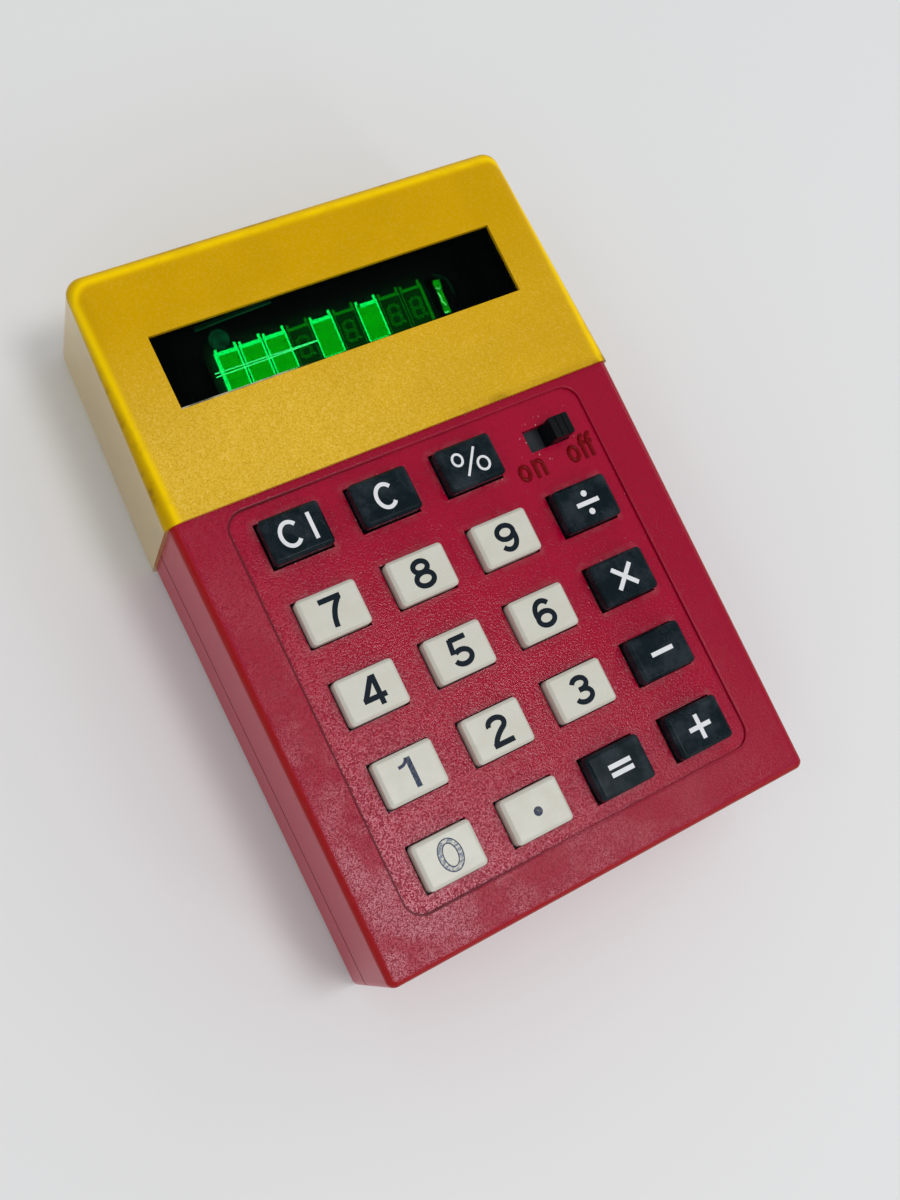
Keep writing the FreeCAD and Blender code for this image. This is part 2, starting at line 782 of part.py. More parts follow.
def make_battery_contacts():
    """Bent strips of spring metal at both ends of the cells, with tails up to the board."""
    strips = []
    metal = 0.4
    tip = cell_length / 2 + 0.05
    wall = 27.6
    for s in (-1, 1):
        for y, z, _ in cell_places():
            inner = s * (wall - metal)
            outer = s * wall
            back = block(inner, outer, y - 3.2, y + 3.2, z - 4.5, partition_top_z - 2.0)
            knee = [
                Vector(inner, y - 2.4, z - 4.5),
                Vector(s * tip, y - 2.4, z),
                Vector(inner, y - 2.4, z + 4.5),
                Vector(outer, y - 2.4, z + 4.5),
                Vector(s * (tip + metal), y - 2.4, z),
                Vector(outer, y - 2.4, z - 4.5),
            ]
            leaf = Part.Face(Part.makePolygon(knee + knee[:1])).extrude(Vector(0, 4.8, 0))
            middle = s * (wall - 0.3)
            tail_top = board_top_z - board_thickness
            tail = centred_block(middle, y, 0.6, 2.4, partition_top_z - 2.2, tail_top)
            strips.append(joined(back, leaf, tail))
    return Part.makeCompound(strips)


def screw(x, y, head_low, head_high, tip_z):
    """A cross-head screw whose head faces the back of the case."""
    head = post(x, y, head_low, head_high, screw_head_radius)
    shank = post(x, y, head_high - 0.1, tip_z, screw_radius)
    cross = [
        block(x - 1.8, x + 1.8, y - 0.35, y + 0.35, head_low - 1, head_low + 0.9),
        block(x - 0.35, x + 0.35, y - 1.8, y + 1.8, head_low - 1, head_low + 0.9),
    ]
    return joined(head, shank).cut(cross)


def make_case_screws():
    seat = back_z + screw_seat_depth
    tip_z = parting_z + 8
    return Part.makeCompound([screw(x, y, seat - screw_head_height, seat, tip_z) for x, y in screw_places])


def build():
    outside, hollow = both_shells()
    coil_frame, coil_winding = make_converter_coil()
    nodes = {
        "front_shell": make_front_shell(outside, hollow),
        "rear_shell": make_rear_shell(outside, hollow),
        "battery_door": make_battery_door(outside),
        "display_cap": make_display_cap(),
        "display_window": make_display_window(),
        "dome_sheet": make_dome_sheet(),
        "main_board": make_main_board(),
        "switch_body": make_switch_body(),
        "switch_knob": make_switch_knob(),
        "tube_cover": make_tube_cover(),
        "tube_base": make_tube_base(),
        "tube_grids": make_tube_grids(),
        "filament_supports": make_filament_supports(),
        "filament_wires": make_filament_wires(),
        "getter": make_getter(),
        "tube_leads": make_tube_leads(),
        "tube_holder": make_tube_holder(),
        "calculator_chip": make_calculator_chip(),
        "converter_core": coil_frame,
        "converter_winding": coil_winding,
        "capacitors": make_capacitors(),
        "resistors": make_resistors(),
        "diodes": make_diodes(),
        "transistors": make_transistors(),
        "battery_contacts": make_battery_contacts(),
        "case_screws": make_case_screws(),
    }
    for name, (y, z, side) in zip(("cell_lower", "cell_upper"), cell_places()):
        nodes[name] = make_cell(y, z, side)
    for name, x, y in key_places():
        digit_key = name == "key_point" or name[4:].isdigit()
        nodes[name] = make_key(x, y, digit_key_stand if digit_key else dark_key_stand)
    return nodes


os.makedirs("parts", exist_ok=True)
for node, shape in build().items():
    shape.exportStep("parts/" + node + ".step")
    bounds = shape.BoundBox
    print(
        f"{node:20s} solids {len(shape.Solids)} valid {shape.isValid()} volume {shape.Volume:9.1f}"
        f"  x {bounds.XMin:7.2f} {bounds.XMax:7.2f}  y {bounds.YMin:7.2f} {bounds.YMax:7.2f}"
        f"  z {bounds.ZMin:6.2f} {bounds.ZMax:6.2f}"
    )
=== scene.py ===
import math

import bmesh
import bpy
from bpy.props import FloatProperty, FloatVectorProperty, PointerProperty
from mathutils import Matrix, Quaternion, Vector


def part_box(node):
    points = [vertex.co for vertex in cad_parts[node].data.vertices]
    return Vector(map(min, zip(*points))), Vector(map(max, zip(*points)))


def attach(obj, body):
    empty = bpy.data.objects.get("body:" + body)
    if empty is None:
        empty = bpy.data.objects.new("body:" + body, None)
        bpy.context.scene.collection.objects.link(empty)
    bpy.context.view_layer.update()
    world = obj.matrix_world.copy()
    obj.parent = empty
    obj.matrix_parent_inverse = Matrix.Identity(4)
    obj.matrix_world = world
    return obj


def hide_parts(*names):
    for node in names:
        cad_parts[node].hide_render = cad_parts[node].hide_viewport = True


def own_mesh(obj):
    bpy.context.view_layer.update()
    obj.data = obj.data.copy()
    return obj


bl_info = {
    "name": "Pocket calculator finish",
    "version": (1, 0, 0),
    "blender": (4, 5, 0),
    "location": "View3D > Sidebar > Calculator",
    "description": "Plastics, keys, legends and a glowing display for a pocket calculator",
    "category": "Object",
}

# The calculator lies on its back: +X to the right, +Y to the display end, +Z out of its face.
# The frame is in metres. Sizes written in the code are millimetres times MM.
MM = 0.001
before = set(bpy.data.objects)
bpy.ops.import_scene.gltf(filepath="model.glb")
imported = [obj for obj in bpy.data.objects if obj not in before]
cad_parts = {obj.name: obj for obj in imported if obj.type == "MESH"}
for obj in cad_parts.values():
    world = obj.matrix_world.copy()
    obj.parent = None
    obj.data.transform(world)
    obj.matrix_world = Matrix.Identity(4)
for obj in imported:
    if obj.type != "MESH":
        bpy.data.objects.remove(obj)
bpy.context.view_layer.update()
UP = Vector((0, 0, 1))
# Places that are closer than this count as the same
NEAR = 0.01 * MM

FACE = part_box("front_shell")[1].z
CAP_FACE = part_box("display_cap")[1].z
PANEL = FACE - 0.4 * MM
PANEL_MIDDLE = (0, -17.6 * MM)
PANEL_HALF = (31 * MM, 32.2 * MM)
PANEL_CORNER = 3 * MM
WINDOW_HEIGHT = 12.2 * MM
FILM_THICKNESS = 0.15 * MM
DOME_RADIUS = 3.2 * MM
DOME_HEIGHT = 0.85 * MM
KEY_MARGIN = 0.7 * MM
KEYS = sorted(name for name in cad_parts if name.startswith("key_"))
DIGIT_KEYS = [name for name in KEYS if name[4:].isdigit() or name == "key_point"]


def srgb(red, green, blue):
    """A screen colour, 0 to 255 a channel, as the shader's own values."""
    channels = (red / 255, green / 255, blue / 255)
    return tuple(c / 12.92 if c <= 0.04045 else ((c + 0.055) / 1.055) ** 2.4 for c in channels)


def middle(node):
    low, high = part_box(node)
    return (low + high) / 2


def a_colour(name, description, *channels):
    text = {"name": name, "description": description}
    return FloatVectorProperty(**text, default=srgb(*channels), min=0, max=1, subtype="COLOR")


def a_length(name, description, millimetres):
    text = {"name": name, "description": description}
    return FloatProperty(**text, default=millimetres * MM, min=0, precision=5, unit="LENGTH")


def a_share(name, description, default):
    return FloatProperty(name=name, description=description, default=default, min=0, max=1, subtype="FACTOR")


def a_strength(name, description, default):
    return FloatProperty(name=name, description=description, default=default, min=0)


def a_point(name, description, *metres):
    return FloatVectorProperty(name=name, description=description, default=metres, unit="LENGTH")


# Sizes and colours that can be changed


class ShellFinish(bpy.types.PropertyGroup):
    red: a_colour("Red", "Plastic of both shells and the battery door", 164, 0, 46)
    deep_red: a_colour("Deep red", "Rim round the key panel", 148, 0, 40)
    # Painted shade in the hollows between the pebbles
    pit: a_colour("Pit", "Hollows between the pebbles", 84, 0, 24)
    # Painted shade along the step of the sunk panel, strong on the left
    outline: a_colour("Outline", "Line where the sunk panel begins", 84, 0, 18)
    seam: a_colour("Seam", "Line where the two shells meet", 44, 0, 10)
    edge: a_colour("Red edge", "Smooth round along the edge of the face", 152, 0, 8)
    # Painted highlight on the pebbles of the red grain
    glint: a_colour("Glint", "Polished pebbles of the red grain", 232, 168, 182)
    panel_grain: a_length("Panel grain", "Size of the pebbles in the sunk key panel", 0.3)
    rim_grain: a_length("Rim grain", "Size of the pebbles on the rest of the face", 0.2)
    # Also a dust film on the face, made stronger by the painted glare
    dust: a_colour("Dust", "Dust that gathers round the keys", 156, 98, 100)
    dust_reach: a_length("Dust reach", "How far the dust spreads from a key", 1.4)
    lint: a_colour("Lint", "Specks in the dust", 196, 160, 150)
    yellow: a_colour("Yellow", "Plastic of the cap where it is smooth", 232, 188, 0)
    # Painted highlight along the round shoulder of the cap's front
    crease: a_colour("Worn yellow", "Line round the cap's front where hands polish it", 255, 214, 0)
    gold: a_colour("Gold", "Grained front of the cap", 206, 160, 0)
    # Painted sheen that pales the front towards its mouth
    pale_gold: a_colour("Pale gold", "Front of the cap near its mouth", 224, 182, 50)
    # Painted highlights on the pebbles of the cap
    light_speckle: a_colour("Light speckle", "Pebbles of the cap that catch the light", 246, 208, 108)
    # Painted shade in the hollows of the cap's grain
    dark_speckle: a_colour("Dark speckle", "Hollows between the pebbles of the cap", 176, 128, 0)
    # Grime on the cap, and painted shade along its left edge
    grime: a_colour("Grime", "Marks on the cap", 122, 86, 6)
    # Painted reflection of the pale floor, greying the cap's sides
    rubbed: a_colour("Rubbed yellow", "Sides of the cap, dulled by handling", 150, 138, 104)
    cap_grain: a_length("Cap grain", "Size of the pebbles on the cap's front", 0.26)


class KeyFinish(bpy.types.PropertyGroup):
    cream: a_colour("Cream", "Plastic of the digit keys", 206, 205, 194)
    dark: a_colour("Dark", "Plastic of the other keys", 6, 22, 28)
    worn_cream: a_colour("Worn cream", "Dull patches of the digit keys", 178, 172, 156)
    worn_dark: a_colour("Worn dark", "Dull patches and scratches of the other keys", 66, 76, 84)
    scratch: a_colour("Scratch", "Scratches of the digit keys", 226, 228, 224)
    # Painted shade at the foot of the digit keys
    soiled: a_colour("Soiled", "Foot of the digit keys", 104, 82, 64)
    shaded: a_colour("Shaded", "Foot of the other keys", 8, 8, 10)
    # Painted shade on the part of a key below the panel
    hidden: a_colour("Hidden", "What a key has below the panel", 10, 6, 7)
    navy: a_colour("Navy", "Legends of the digit keys", 6, 22, 34)
    white: a_colour("White", "Legends of the dark keys", 232, 234, 238)
    faded: a_colour("Faded", "Legends that are wearing off", 54, 64, 88)
    ghost: a_colour("Ghost", "Legend of the 0, nearly worn off", 128, 138, 160)
    corner: a_length("Corner", "Radius of a key's upright corners", 0.7)
    bevel: a_length("Bevel", "Width of the bevel round a key's top", 0.5)
    crease: a_length("Crease", "Rounding of the bevel's two creases", 0.14)
    flange_margin: a_length("Flange", "How far the hidden flange stands out", KEY_MARGIN / MM)
    flange_thickness: a_length("Flange thickness", "Thickness of the hidden flange", 0.7)
    flange_depth: a_length("Flange depth", "Depth of the flange's top below the face", 2.05)
    pin_width: a_length("Pin", "Width of the pin that presses the dome", 2.2)
    digit_stroke: a_length("Digit stroke", "Line width of the digits", 0.84)
    film: a_length("Print", "Thickness of the printed legends", 0.02)


class SwitchFinish(bpy.types.PropertyGroup):
    black: a_colour("Black", "Plastic of the switch", 14, 17, 20)
    plate: a_colour("Plate", "Dusty plate in the slot of the switch", 58, 64, 68)
    word: a_colour("Words", "Raised words below the switch", 118, 0, 8)
    word_stroke: a_length("Word stroke", "Line width of the raised words", 0.9)
    word_rise: a_length("Word rise", "How far the words stand out of the panel", 0.24)
    groove: a_length("Groove", "Depth of the grooves across the knob", 0.14)


class DisplayFinish(bpy.types.PropertyGroup):
    bright: a_colour("Bright", "Edges of the lit grids", 4, 255, 92)
    medium: a_colour("Medium", "Mesh of the lit grids", 0, 190, 8)
    low: a_colour("Low", "Plates behind the lit mesh", 0, 104, 0)
    # Painted glow on the grids and figures that aren't lit
    faint: a_colour("Faint", "Grids and figures that aren't lit", 2, 112, 8)
    # Painted glow on the ground of the digits that aren't lit
    haze: a_colour("Haze", "Ground of the digits that aren't lit", 0, 44, 3)
    # Painted glow on the plates of the heater's spring
    spring: a_colour("Spring", "Plates of the heater's spring in the glow", 3, 142, 8)
    # Painted pool of glow on the floor of the tube
    halo: a_colour("Halo", "Glow on the floor of the tube", 0, 30, 8)
    # Painted glow on the getter disc
    getter: a_colour("Getter", "Disc beside the first digit", 4, 64, 34)
    glow: a_strength("Glow", "Strength of everything that shines", 7.0)
    filter: a_colour("Filter", "Dark pane over the display", 1, 4, 3)
    # Dust and a painted highlight along the foot of the pane
    pane_dust: a_colour("Pane dust", "Dust along the foot of the pane", 196, 194, 172)
    filter_density: a_share("Filter density", "How much the pane hides", 0.62)
    pane_round: a_length("Pane edge", "Rounding of the pane's edge", 0.25)
    mesh_pitch: a_length("Mesh pitch", "Distance between the holes of a grid", 0.34)
    mesh_wire: a_length("Mesh wire", "Width of the metal between the holes", 0.12)


class StageFinish(bpy.types.PropertyGroup):
    floor: a_colour("Floor", "Plain pale table top", 228, 229, 230)
    floor_fade: a_length("Floor", "Distance at which the floor starts to fade out", 250.0)
    sky: a_strength("Room light", "Even light from all round", 0.55)
    backdrop: a_strength("Backdrop", "Brightness of the room where the camera sees it", 0.74)
    window: a_strength("Main lamp", "Power of the large lamp on the right", 1.5)
    ceiling: a_strength("Upper lamp", "Power of the lamp overhead", 4.8)
    fill: a_strength("Fill lamp", "Power of the large lamp on the left", 0.25)
    front: a_strength("Lower lamp", "Power of the small lamp at the bottom end", 0.25)
    side: a_strength("Left lamp", "Power of the small lamp on the left", 0.12)
    lens: FloatProperty(name="Lens", description="Focal length", default=41.25, unit="CAMERA")
    place: a_point("Camera", "Where the camera stands", -0.07886, -0.0303, 0.21939)
    aim: a_point("Aim", "The point that the camera looks at", -0.004558, -0.009935, 0.0257)
    roll: FloatProperty(
        name="Roll",
        description="Turn of the camera about its line of sight",
        default=math.radians(49.816),
        unit="ROTATION",
    )


# Shader building


class Nodes:
    """A node tree and short ways to add to it."""

    def __init__(self, tree):
        self.tree = tree

    def feed(self, node, socket, value):
        target = node.inputs[socket]
        if isinstance(value, bpy.types.NodeSocket):
            self.tree.links.new(value, target)
        elif target.type == "RGBA" and len(value) == 3:
            target.default_value = (*value, 1)
        else:
            target.default_value = value

    def add(self, kind, inputs=None, **settings):
        node = self.tree.nodes.new("ShaderNode" + kind)
        for name, value in settings.items():
            setattr(node, name, value)
        for socket, value in (inputs or {}).items():
            self.feed(node, socket, value)
        return node

    def math(self, operation, *values, clamp=False):
        node = self.add("Math", operation=operation, use_clamp=clamp)
        for index, value in enumerate(values):
            self.feed(node, index, value)
        return node.outputs[0]

    def product(self, first, *others):
        for other in others:
            first = self.math("MULTIPLY", first, other)
        return first

    def rest(self, share):
        """What a share leaves of 1."""
        return self.math("SUBTRACT", 1.0, share)

    def ramp(self, value, low, high, from_low=0.0, to_high=1.0):
        """Smooth step from one value to another between low and high."""
        sockets = {"Value": value, "From Min": low, "From Max": high, "To Min": from_low, "To Max": to_high}
        return self.add("MapRange", sockets, interpolation_type="SMOOTHSTEP").outputs[0]

    def between(self, value, low, high, soft):
        """1 between low and high, and 0 outside, with soft borders."""
        rise = self.ramp(value, low - soft, low + soft)
        fall = self.ramp(value, high - soft, high + soft, 1.0, 0.0)
        return self.product(rise, fall)

    def distance(self, x, y):
        return self.math("SQRT", self.math("ADD", self.product(x, x), self.product(y, y)))

    def beyond(self, value, centre, reach):
        """How much farther than its reach a value lies from a centre, and 0 within its reach."""
        away = self.math("ABSOLUTE", self.math("SUBTRACT", value, centre))
        return self.math("MAXIMUM", self.math("SUBTRACT", away, reach), 0.0)

    def past_outline(self, x, y, centre, half, corner):
        """Distance outside a rectangle with round corners. Inside it's below 0, to minus the corner."""
        past_x = self.beyond(x, centre[0], half[0] - corner)
        past_y = self.beyond(y, centre[1], half[1] - corner)
        return self.math("SUBTRACT", self.distance(past_x, past_y), corner)

    def blend(self, share, first, second):
        node = self.add("Mix", data_type="RGBA")
        self.feed(node, 0, share)
        self.feed(node, 6, first)
        self.feed(node, 7, second)
        return node.outputs[2]

    def object_place(self):
        return self.add("TexCoord").outputs["Object"]

    def split(self, vector):
        return self.add("SeparateXYZ", {0: vector}).outputs

    def noise(self, vector, scale, detail=2.0, roughness=0.5):
        sockets = {"Vector": vector, "Scale": scale, "Detail": detail, "Roughness": roughness}
        return self.add("TexNoise", sockets).outputs[0]

    def stretched(self, vector, scales, turn):
        """A place turned about Z, in which a pattern is drawn out as its scales say."""
        sockets = {"Vector": vector, "Scale": scales, "Rotation": (0, 0, turn)}
        return self.add("Mapping", sockets, vector_type="TEXTURE").outputs[0]

    def over(self, colour, paint, *shares):
        """A colour under a paint that covers as much of it as the product of the shares."""
        return self.blend(self.product(*shares), colour, paint)

    def use(self, effect, **inputs):
        """Places a shared effect, which is made on its first use, and returns its outputs."""
        node = self.add("Group")
        node.node_tree = bpy.data.node_groups.get(effect.__name__) or effect()
        for socket, value in inputs.items():
            self.feed(node, socket, value)
        return node.outputs


def new_effect(name, inputs, outputs):
    """An empty shared effect: its tree, its nodes, its input sockets and its output node."""
    tree = bpy.data.node_groups.new(name, "ShaderNodeTree")
    for socket, kind in inputs.items():
        tree.interface.new_socket(socket, in_out="INPUT", socket_type="NodeSocket" + kind)
    for socket in outputs:
        tree.interface.new_socket(socket, in_out="OUTPUT", socket_type="NodeSocketFloat")
    given = tree.nodes.new("NodeGroupInput").outputs
    made = tree.nodes.new("NodeGroupOutput")
    return tree, Nodes(tree), given, made


def moulded_grain():
    """Pebbles left by a rough mould: their height, a mask for painted highlights on the few that face the
    light, and broad patches.
    """
    tree, nodes, given, made = new_effect(
        "moulded_grain", {"Vector": "Vector", "Size": "Float"}, ["Height", "Glint", "Cloud"]
    )
    scale = nodes.math("DIVIDE", 1.0, given["Size"])
    pebbles = nodes.noise(given["Vector"], scale, 2.0, 0.45)
    nodes.feed(made, "Height", pebbles)
    nodes.feed(made, "Glint", nodes.ramp(pebbles, 0.5, 0.72))
    nodes.feed(made, "Cloud", nodes.ramp(nodes.noise(given["Vector"], 110.0, 3.0, 0.55), 0.35, 0.65))
    return tree


def hair_scratches():
    """Long hairlines, sharp across and stretched along, broken up into groups."""
    tree, nodes, given, made = new_effect("hair_scratches", {"Vector": "Vector", "Width": "Float"}, ["Lines"])
    lines = 0.0
    for turn, spread in ((0.6, 420.0), (-0.9, 300.0), (1.9, 350.0)):
        along = nodes.stretched(given["Vector"], (1.0, 0.12, 1.0), turn)
        level = nodes.noise(along, spread, 1.0, 0.4)
        gap = nodes.math("ABSOLUTE", nodes.math("SUBTRACT", level, 0.5))
        line = nodes.math("LESS_THAN", gap, given["Width"])
        here = nodes.ramp(nodes.noise(given["Vector"], spread * 0.8, 1.0), 0.5, 0.6)
        lines = nodes.math("MULTIPLY_ADD", line, here, lines)
    nodes.feed(made, "Lines", nodes.math("MINIMUM", lines, 1.0))
    return tree


def dust_round_keys():
    """Dust on the panel close to the keys, patchy, and none round the switch."""
    tree, nodes, given, made = new_effect(
        "dust_round_keys", {"Vector": "Vector", "Reach": "Float"}, ["Dust", "Lint"]
    )
    first = middle("key_0")
    pitches = middle("key_point").x - first.x, middle("key_1").y - first.y
    low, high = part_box("key_0")
    x, y, _ = nodes.split(given["Vector"])
    gaps = []
    for axis, value, pitch in zip((0, 1), (x, y), pitches):
        shifted = nodes.math("SUBTRACT", value, first[axis] - pitch / 2)
        within = nodes.math("FLOORED_MODULO", shifted, pitch)
        gaps.append(nodes.beyond(within, pitch / 2, (high - low)[axis] / 2 - KEY_MARGIN))
    near = nodes.rest(nodes.math("DIVIDE", nodes.distance(*gaps), given["Reach"], clamp=True))
    patches = nodes.ramp(nodes.noise(given["Vector"], 420.0, 4.0, 0.7), 0.38, 0.66)
    switch = middle("switch_body")
    by_switch = nodes.product(
        nodes.ramp(x, switch.x - 9 * MM, switch.x - 7 * MM),
        nodes.ramp(y, switch.y - 7.5 * MM, switch.y - 5.5 * MM),
    )
    nodes.feed(made, "Dust", nodes.product(near, patches, nodes.rest(by_switch)))
    specks = nodes.math("GREATER_THAN", nodes.noise(given["Vector"], 1500.0, 2.0, 0.6), 0.69)
    nodes.feed(made, "Lint", nodes.product(specks, nodes.ramp(near, 0.45, 0.8)))
    return tree


def smudges():
    """Soft irregular patches, such as handling leaves."""
    tree, nodes, given, made = new_effect("smudges", {"Vector": "Vector", "Scale": "Float"}, ["Patches"])
    level = nodes.noise(given["Vector"], given["Scale"], 5.0, 0.62)
    nodes.feed(made, "Patches", nodes.ramp(level, 0.46, 0.68))
    return tree


def recipe(name, constants):
    """A new material with these values on its shader, and the nodes to add to it."""
    material = bpy.data.materials.new(name)
    material.use_nodes = True
    nodes = Nodes(material.node_tree)
    shader = material.node_tree.nodes["Principled BSDF"]
    for socket, value in constants.items():
        nodes.feed(shader, socket, value)
    return material, nodes, shader


def bump(nodes, shader, height, distance):
    node = nodes.add("Bump", {"Height": height, "Distance": distance, "Strength": 1.0})
    nodes.feed(shader, "Normal", node.outputs[0])


# Materials


def red_plastic(finish):
    """Crimson plastic: coarse grain in the panel, fine grain on the face, smooth rounds, dust by the keys,
    painted glints and painted shade in the grain, and painted shade along the panel's step.
    """
    material, nodes, shader = recipe("crimson_shell", {"Specular IOR Level": 0.16, "Coat Roughness": 0.2})
    place = nodes.object_place()
    x, y, z = nodes.split(place)
    on_panel = nodes.between(z, PANEL - 0.1 * MM, PANEL + 0.1 * MM, 0.02 * MM)
    on_face = nodes.ramp(z, FACE - 0.3 * MM, FACE - 0.02 * MM)
    coarse = nodes.use(moulded_grain, Vector=place, Size=finish.panel_grain)
    fine = nodes.use(moulded_grain, Vector=place, Size=finish.rim_grain)
    # Painted glare: the pebbles get painted highlights, most at the lower left, where the overhead lamp's
    # glare lies
    toward_glare = nodes.ramp(nodes.math("ADD", x, y), -95 * MM, 25 * MM, 1.0, 0.0)
    painted_glare = nodes.product(toward_glare, toward_glare, toward_glare)
    coarse_flank, fine_flank = (nodes.between(size["Height"], 0.53, 0.6, 0.04) for size in (coarse, fine))
    fine_painted_glint = nodes.product(fine_flank, on_face, nodes.ramp(fine["Cloud"], 0, 1, 0.2, 1.0))
    glint = nodes.math("MAXIMUM", nodes.product(coarse_flank, on_panel), fine_painted_glint)
    colour = nodes.over(finish.red, finish.deep_red, on_face, 0.6)
    # Painted shade in the hollows of the grain, stronger towards the glare at the lower left
    coarse_pit_shade, fine_pit_shade = (nodes.ramp(size["Height"], 0.34, 0.52, 0.55, 0.0) for size in (coarse, fine))
    pit_shade_mask = nodes.math("ADD", nodes.product(coarse_pit_shade, on_panel), nodes.product(fine_pit_shade, on_face))
    colour = nodes.over(colour, finish.pit, pit_shade_mask, nodes.ramp(toward_glare, 0, 1, 0.35, 1.0))
    # Painted glints on the pebbles, strongest at the lower left
    colour = nodes.over(colour, finish.glint, glint, painted_glare)
    dust = nodes.use(dust_round_keys, Vector=place, Reach=finish.dust_reach)
    colour = nodes.over(colour, finish.dust, dust["Dust"], on_panel, 0.4)
    colour = nodes.over(colour, finish.lint, dust["Lint"], on_panel)
    # Dust film on the face, with painted sheen: its strength follows the painted glare
    colour = nodes.over(colour, finish.dust, fine["Cloud"], on_face, painted_glare, 0.2)
    past = nodes.past_outline(x, y, PANEL_MIDDLE, PANEL_HALF, PANEL_CORNER)
    outline = nodes.between(past, -0.06 * MM, 0.28 * MM, 0.09 * MM)
    off_outline = nodes.rest(outline)
    on_round = nodes.between(z, FACE - 1.5 * MM, FACE - 0.12 * MM, 0.1 * MM)
    colour = nodes.over(colour, finish.edge, on_round, nodes.ramp(past, 0.3 * MM, 0.6 * MM))
    seam_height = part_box("front_shell")[0].z
    seam = nodes.between(z, seam_height - 0.24 * MM, seam_height + 0.24 * MM, 0.05 * MM)
    colour = nodes.over(colour, finish.seam, seam, 0.9)
    # Painted shade along the panel's step: strong on the left, faint on the right, which faces the light
    colour = nodes.over(colour, finish.outline, outline, nodes.ramp(x, -28 * MM, 5 * MM, 0.9, 0.15))
    nodes.feed(shader, "Base Color", colour)
    grained = nodes.product(nodes.math("MAXIMUM", on_panel, on_face), off_outline)
    nodes.feed(shader, "Roughness", nodes.ramp(grained, 0, 1, 0.45, 0.11))
    nodes.feed(shader, "Coat Weight", nodes.ramp(z, FACE - 2.0 * MM, FACE - 1.4 * MM, 0.42, 0.0))
    fine_height = nodes.product(fine["Height"], on_face, off_outline, 0.8)
    height = nodes.math("ADD", nodes.product(coarse["Height"], on_panel), fine_height)
    bump(nodes, shader, nodes.product(height, nodes.ramp(toward_glare, 0, 0.7, 0.45, 1.0)), 0.1 * MM)
    return material


def gold_plastic(finish):
    """Yellow plastic with a grained gold front, paler near the mouth by a painted sheen, grime along its
    edges, a painted highlight round its front, painted shade on its left edge and a painted reflection on its
    sides.
    """
    sockets = {"Specular IOR Level": 0.03, "Coat Roughness": 0.15, "Coat IOR": 2.0}
    material, nodes, shader = recipe("golden_cap", sockets)
    place = nodes.object_place()
    x, y, z = nodes.split(place)
    low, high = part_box("display_cap")
    on_face = nodes.ramp(z, CAP_FACE - 0.3 * MM, CAP_FACE - 0.01 * MM)
    above_side = nodes.ramp(z, CAP_FACE - 2.6 * MM, CAP_FACE - 1.8 * MM)
    # The outline is taken as longer than the cap, so that its mouth doesn't count as an edge
    half_width, long_half = (high.x - low.x) / 2, 60 * MM
    past = nodes.past_outline(x, y, (0, high.y - long_half), (half_width, long_half), 5 * MM)
    inward = nodes.math("MULTIPLY", past, -1.0)
    grain = nodes.use(moulded_grain, Vector=place, Size=finish.cap_grain)
    # Painted sheen: the front pales towards its mouth and its left
    pale = nodes.product(
        nodes.ramp(y, low.y + 8 * MM, low.y + 32 * MM, 1.0, 0.0), nodes.ramp(x, -24 * MM, 36 * MM, 1.0, 0.3)
    )
    front = nodes.blend(pale, finish.gold, finish.pale_gold)
    # Painted highlights and shade on the pebbles, strongest where the painted sheen is
    coarse = nodes.math("MULTIPLY_ADD", pale, 0.8, 0.2)
    front = nodes.over(front, finish.light_speckle, grain["Glint"], coarse, 0.5)
    hollow_shade = nodes.ramp(grain["Height"], 0.3, 0.5, 0.4, 0.0)
    front = nodes.over(front, finish.dark_speckle, hollow_shade, coarse)
    front = nodes.over(front, finish.grime, grain["Cloud"], 0.06)
    colour = nodes.blend(nodes.ramp(inward, 1.2 * MM, 3.4 * MM), finish.yellow, front)
    marks = nodes.use(smudges, Vector=place, Scale=260.0)["Patches"]
    # Painted highlight along the shoulder where the front starts to round over, broken up by the smudges
    crease = nodes.between(inward, 1.35 * MM, 2.3 * MM, 0.6 * MM)
    colour = nodes.over(colour, finish.crease, crease, nodes.ramp(marks, 0, 1, 1.0, 0.6))
    on_rim = nodes.between(inward, 0.25 * MM, 0.95 * MM, 0.3 * MM)
    at_mouth = nodes.product(
        nodes.ramp(y, low.y + 0.2 * MM, low.y + 1.6 * MM, 1.0, 0.0), nodes.ramp(x, 0.0, 25 * MM)
    )
    # The marks on the rim and at the mouth are grime
    grime = nodes.math("ADD", nodes.product(on_rim, above_side, 0.6), nodes.product(at_mouth, 0.55))
    colour = nodes.over(colour, finish.grime, grime, nodes.ramp(marks, 0, 1, 0.3, 1.0))
    # Painted shade along the left edge, which faces away from the lamps
    colour = nodes.over(
        colour,
        finish.grime,
        nodes.ramp(x, low.x + 3 * MM, low.x + 6 * MM, 1.0, 0.0),
        nodes.ramp(y, high.y - 5 * MM, high.y - 1 * MM, 1.0, 0.3),
        nodes.ramp(inward, 1.1 * MM, 2.1 * MM, 1.0, 0.0),
        nodes.ramp(marks, 0, 1, 0.4, 0.56),
    )
    # Painted reflection greying the cap's sides
    colour = nodes.over(colour, finish.rubbed, nodes.rest(above_side), 0.35)
    nodes.feed(shader, "Base Color", colour)
    nodes.feed(shader, "Roughness", nodes.ramp(on_face, 0, 1, 0.26, 0.36))
    nodes.feed(shader, "Coat Weight", nodes.ramp(z, CAP_FACE - 3.0 * MM, CAP_FACE - 2.2 * MM, 1.0, 0.0))
    bump(nodes, shader, nodes.product(grain["Height"], on_face, coarse), 0.08 * MM)
    return material


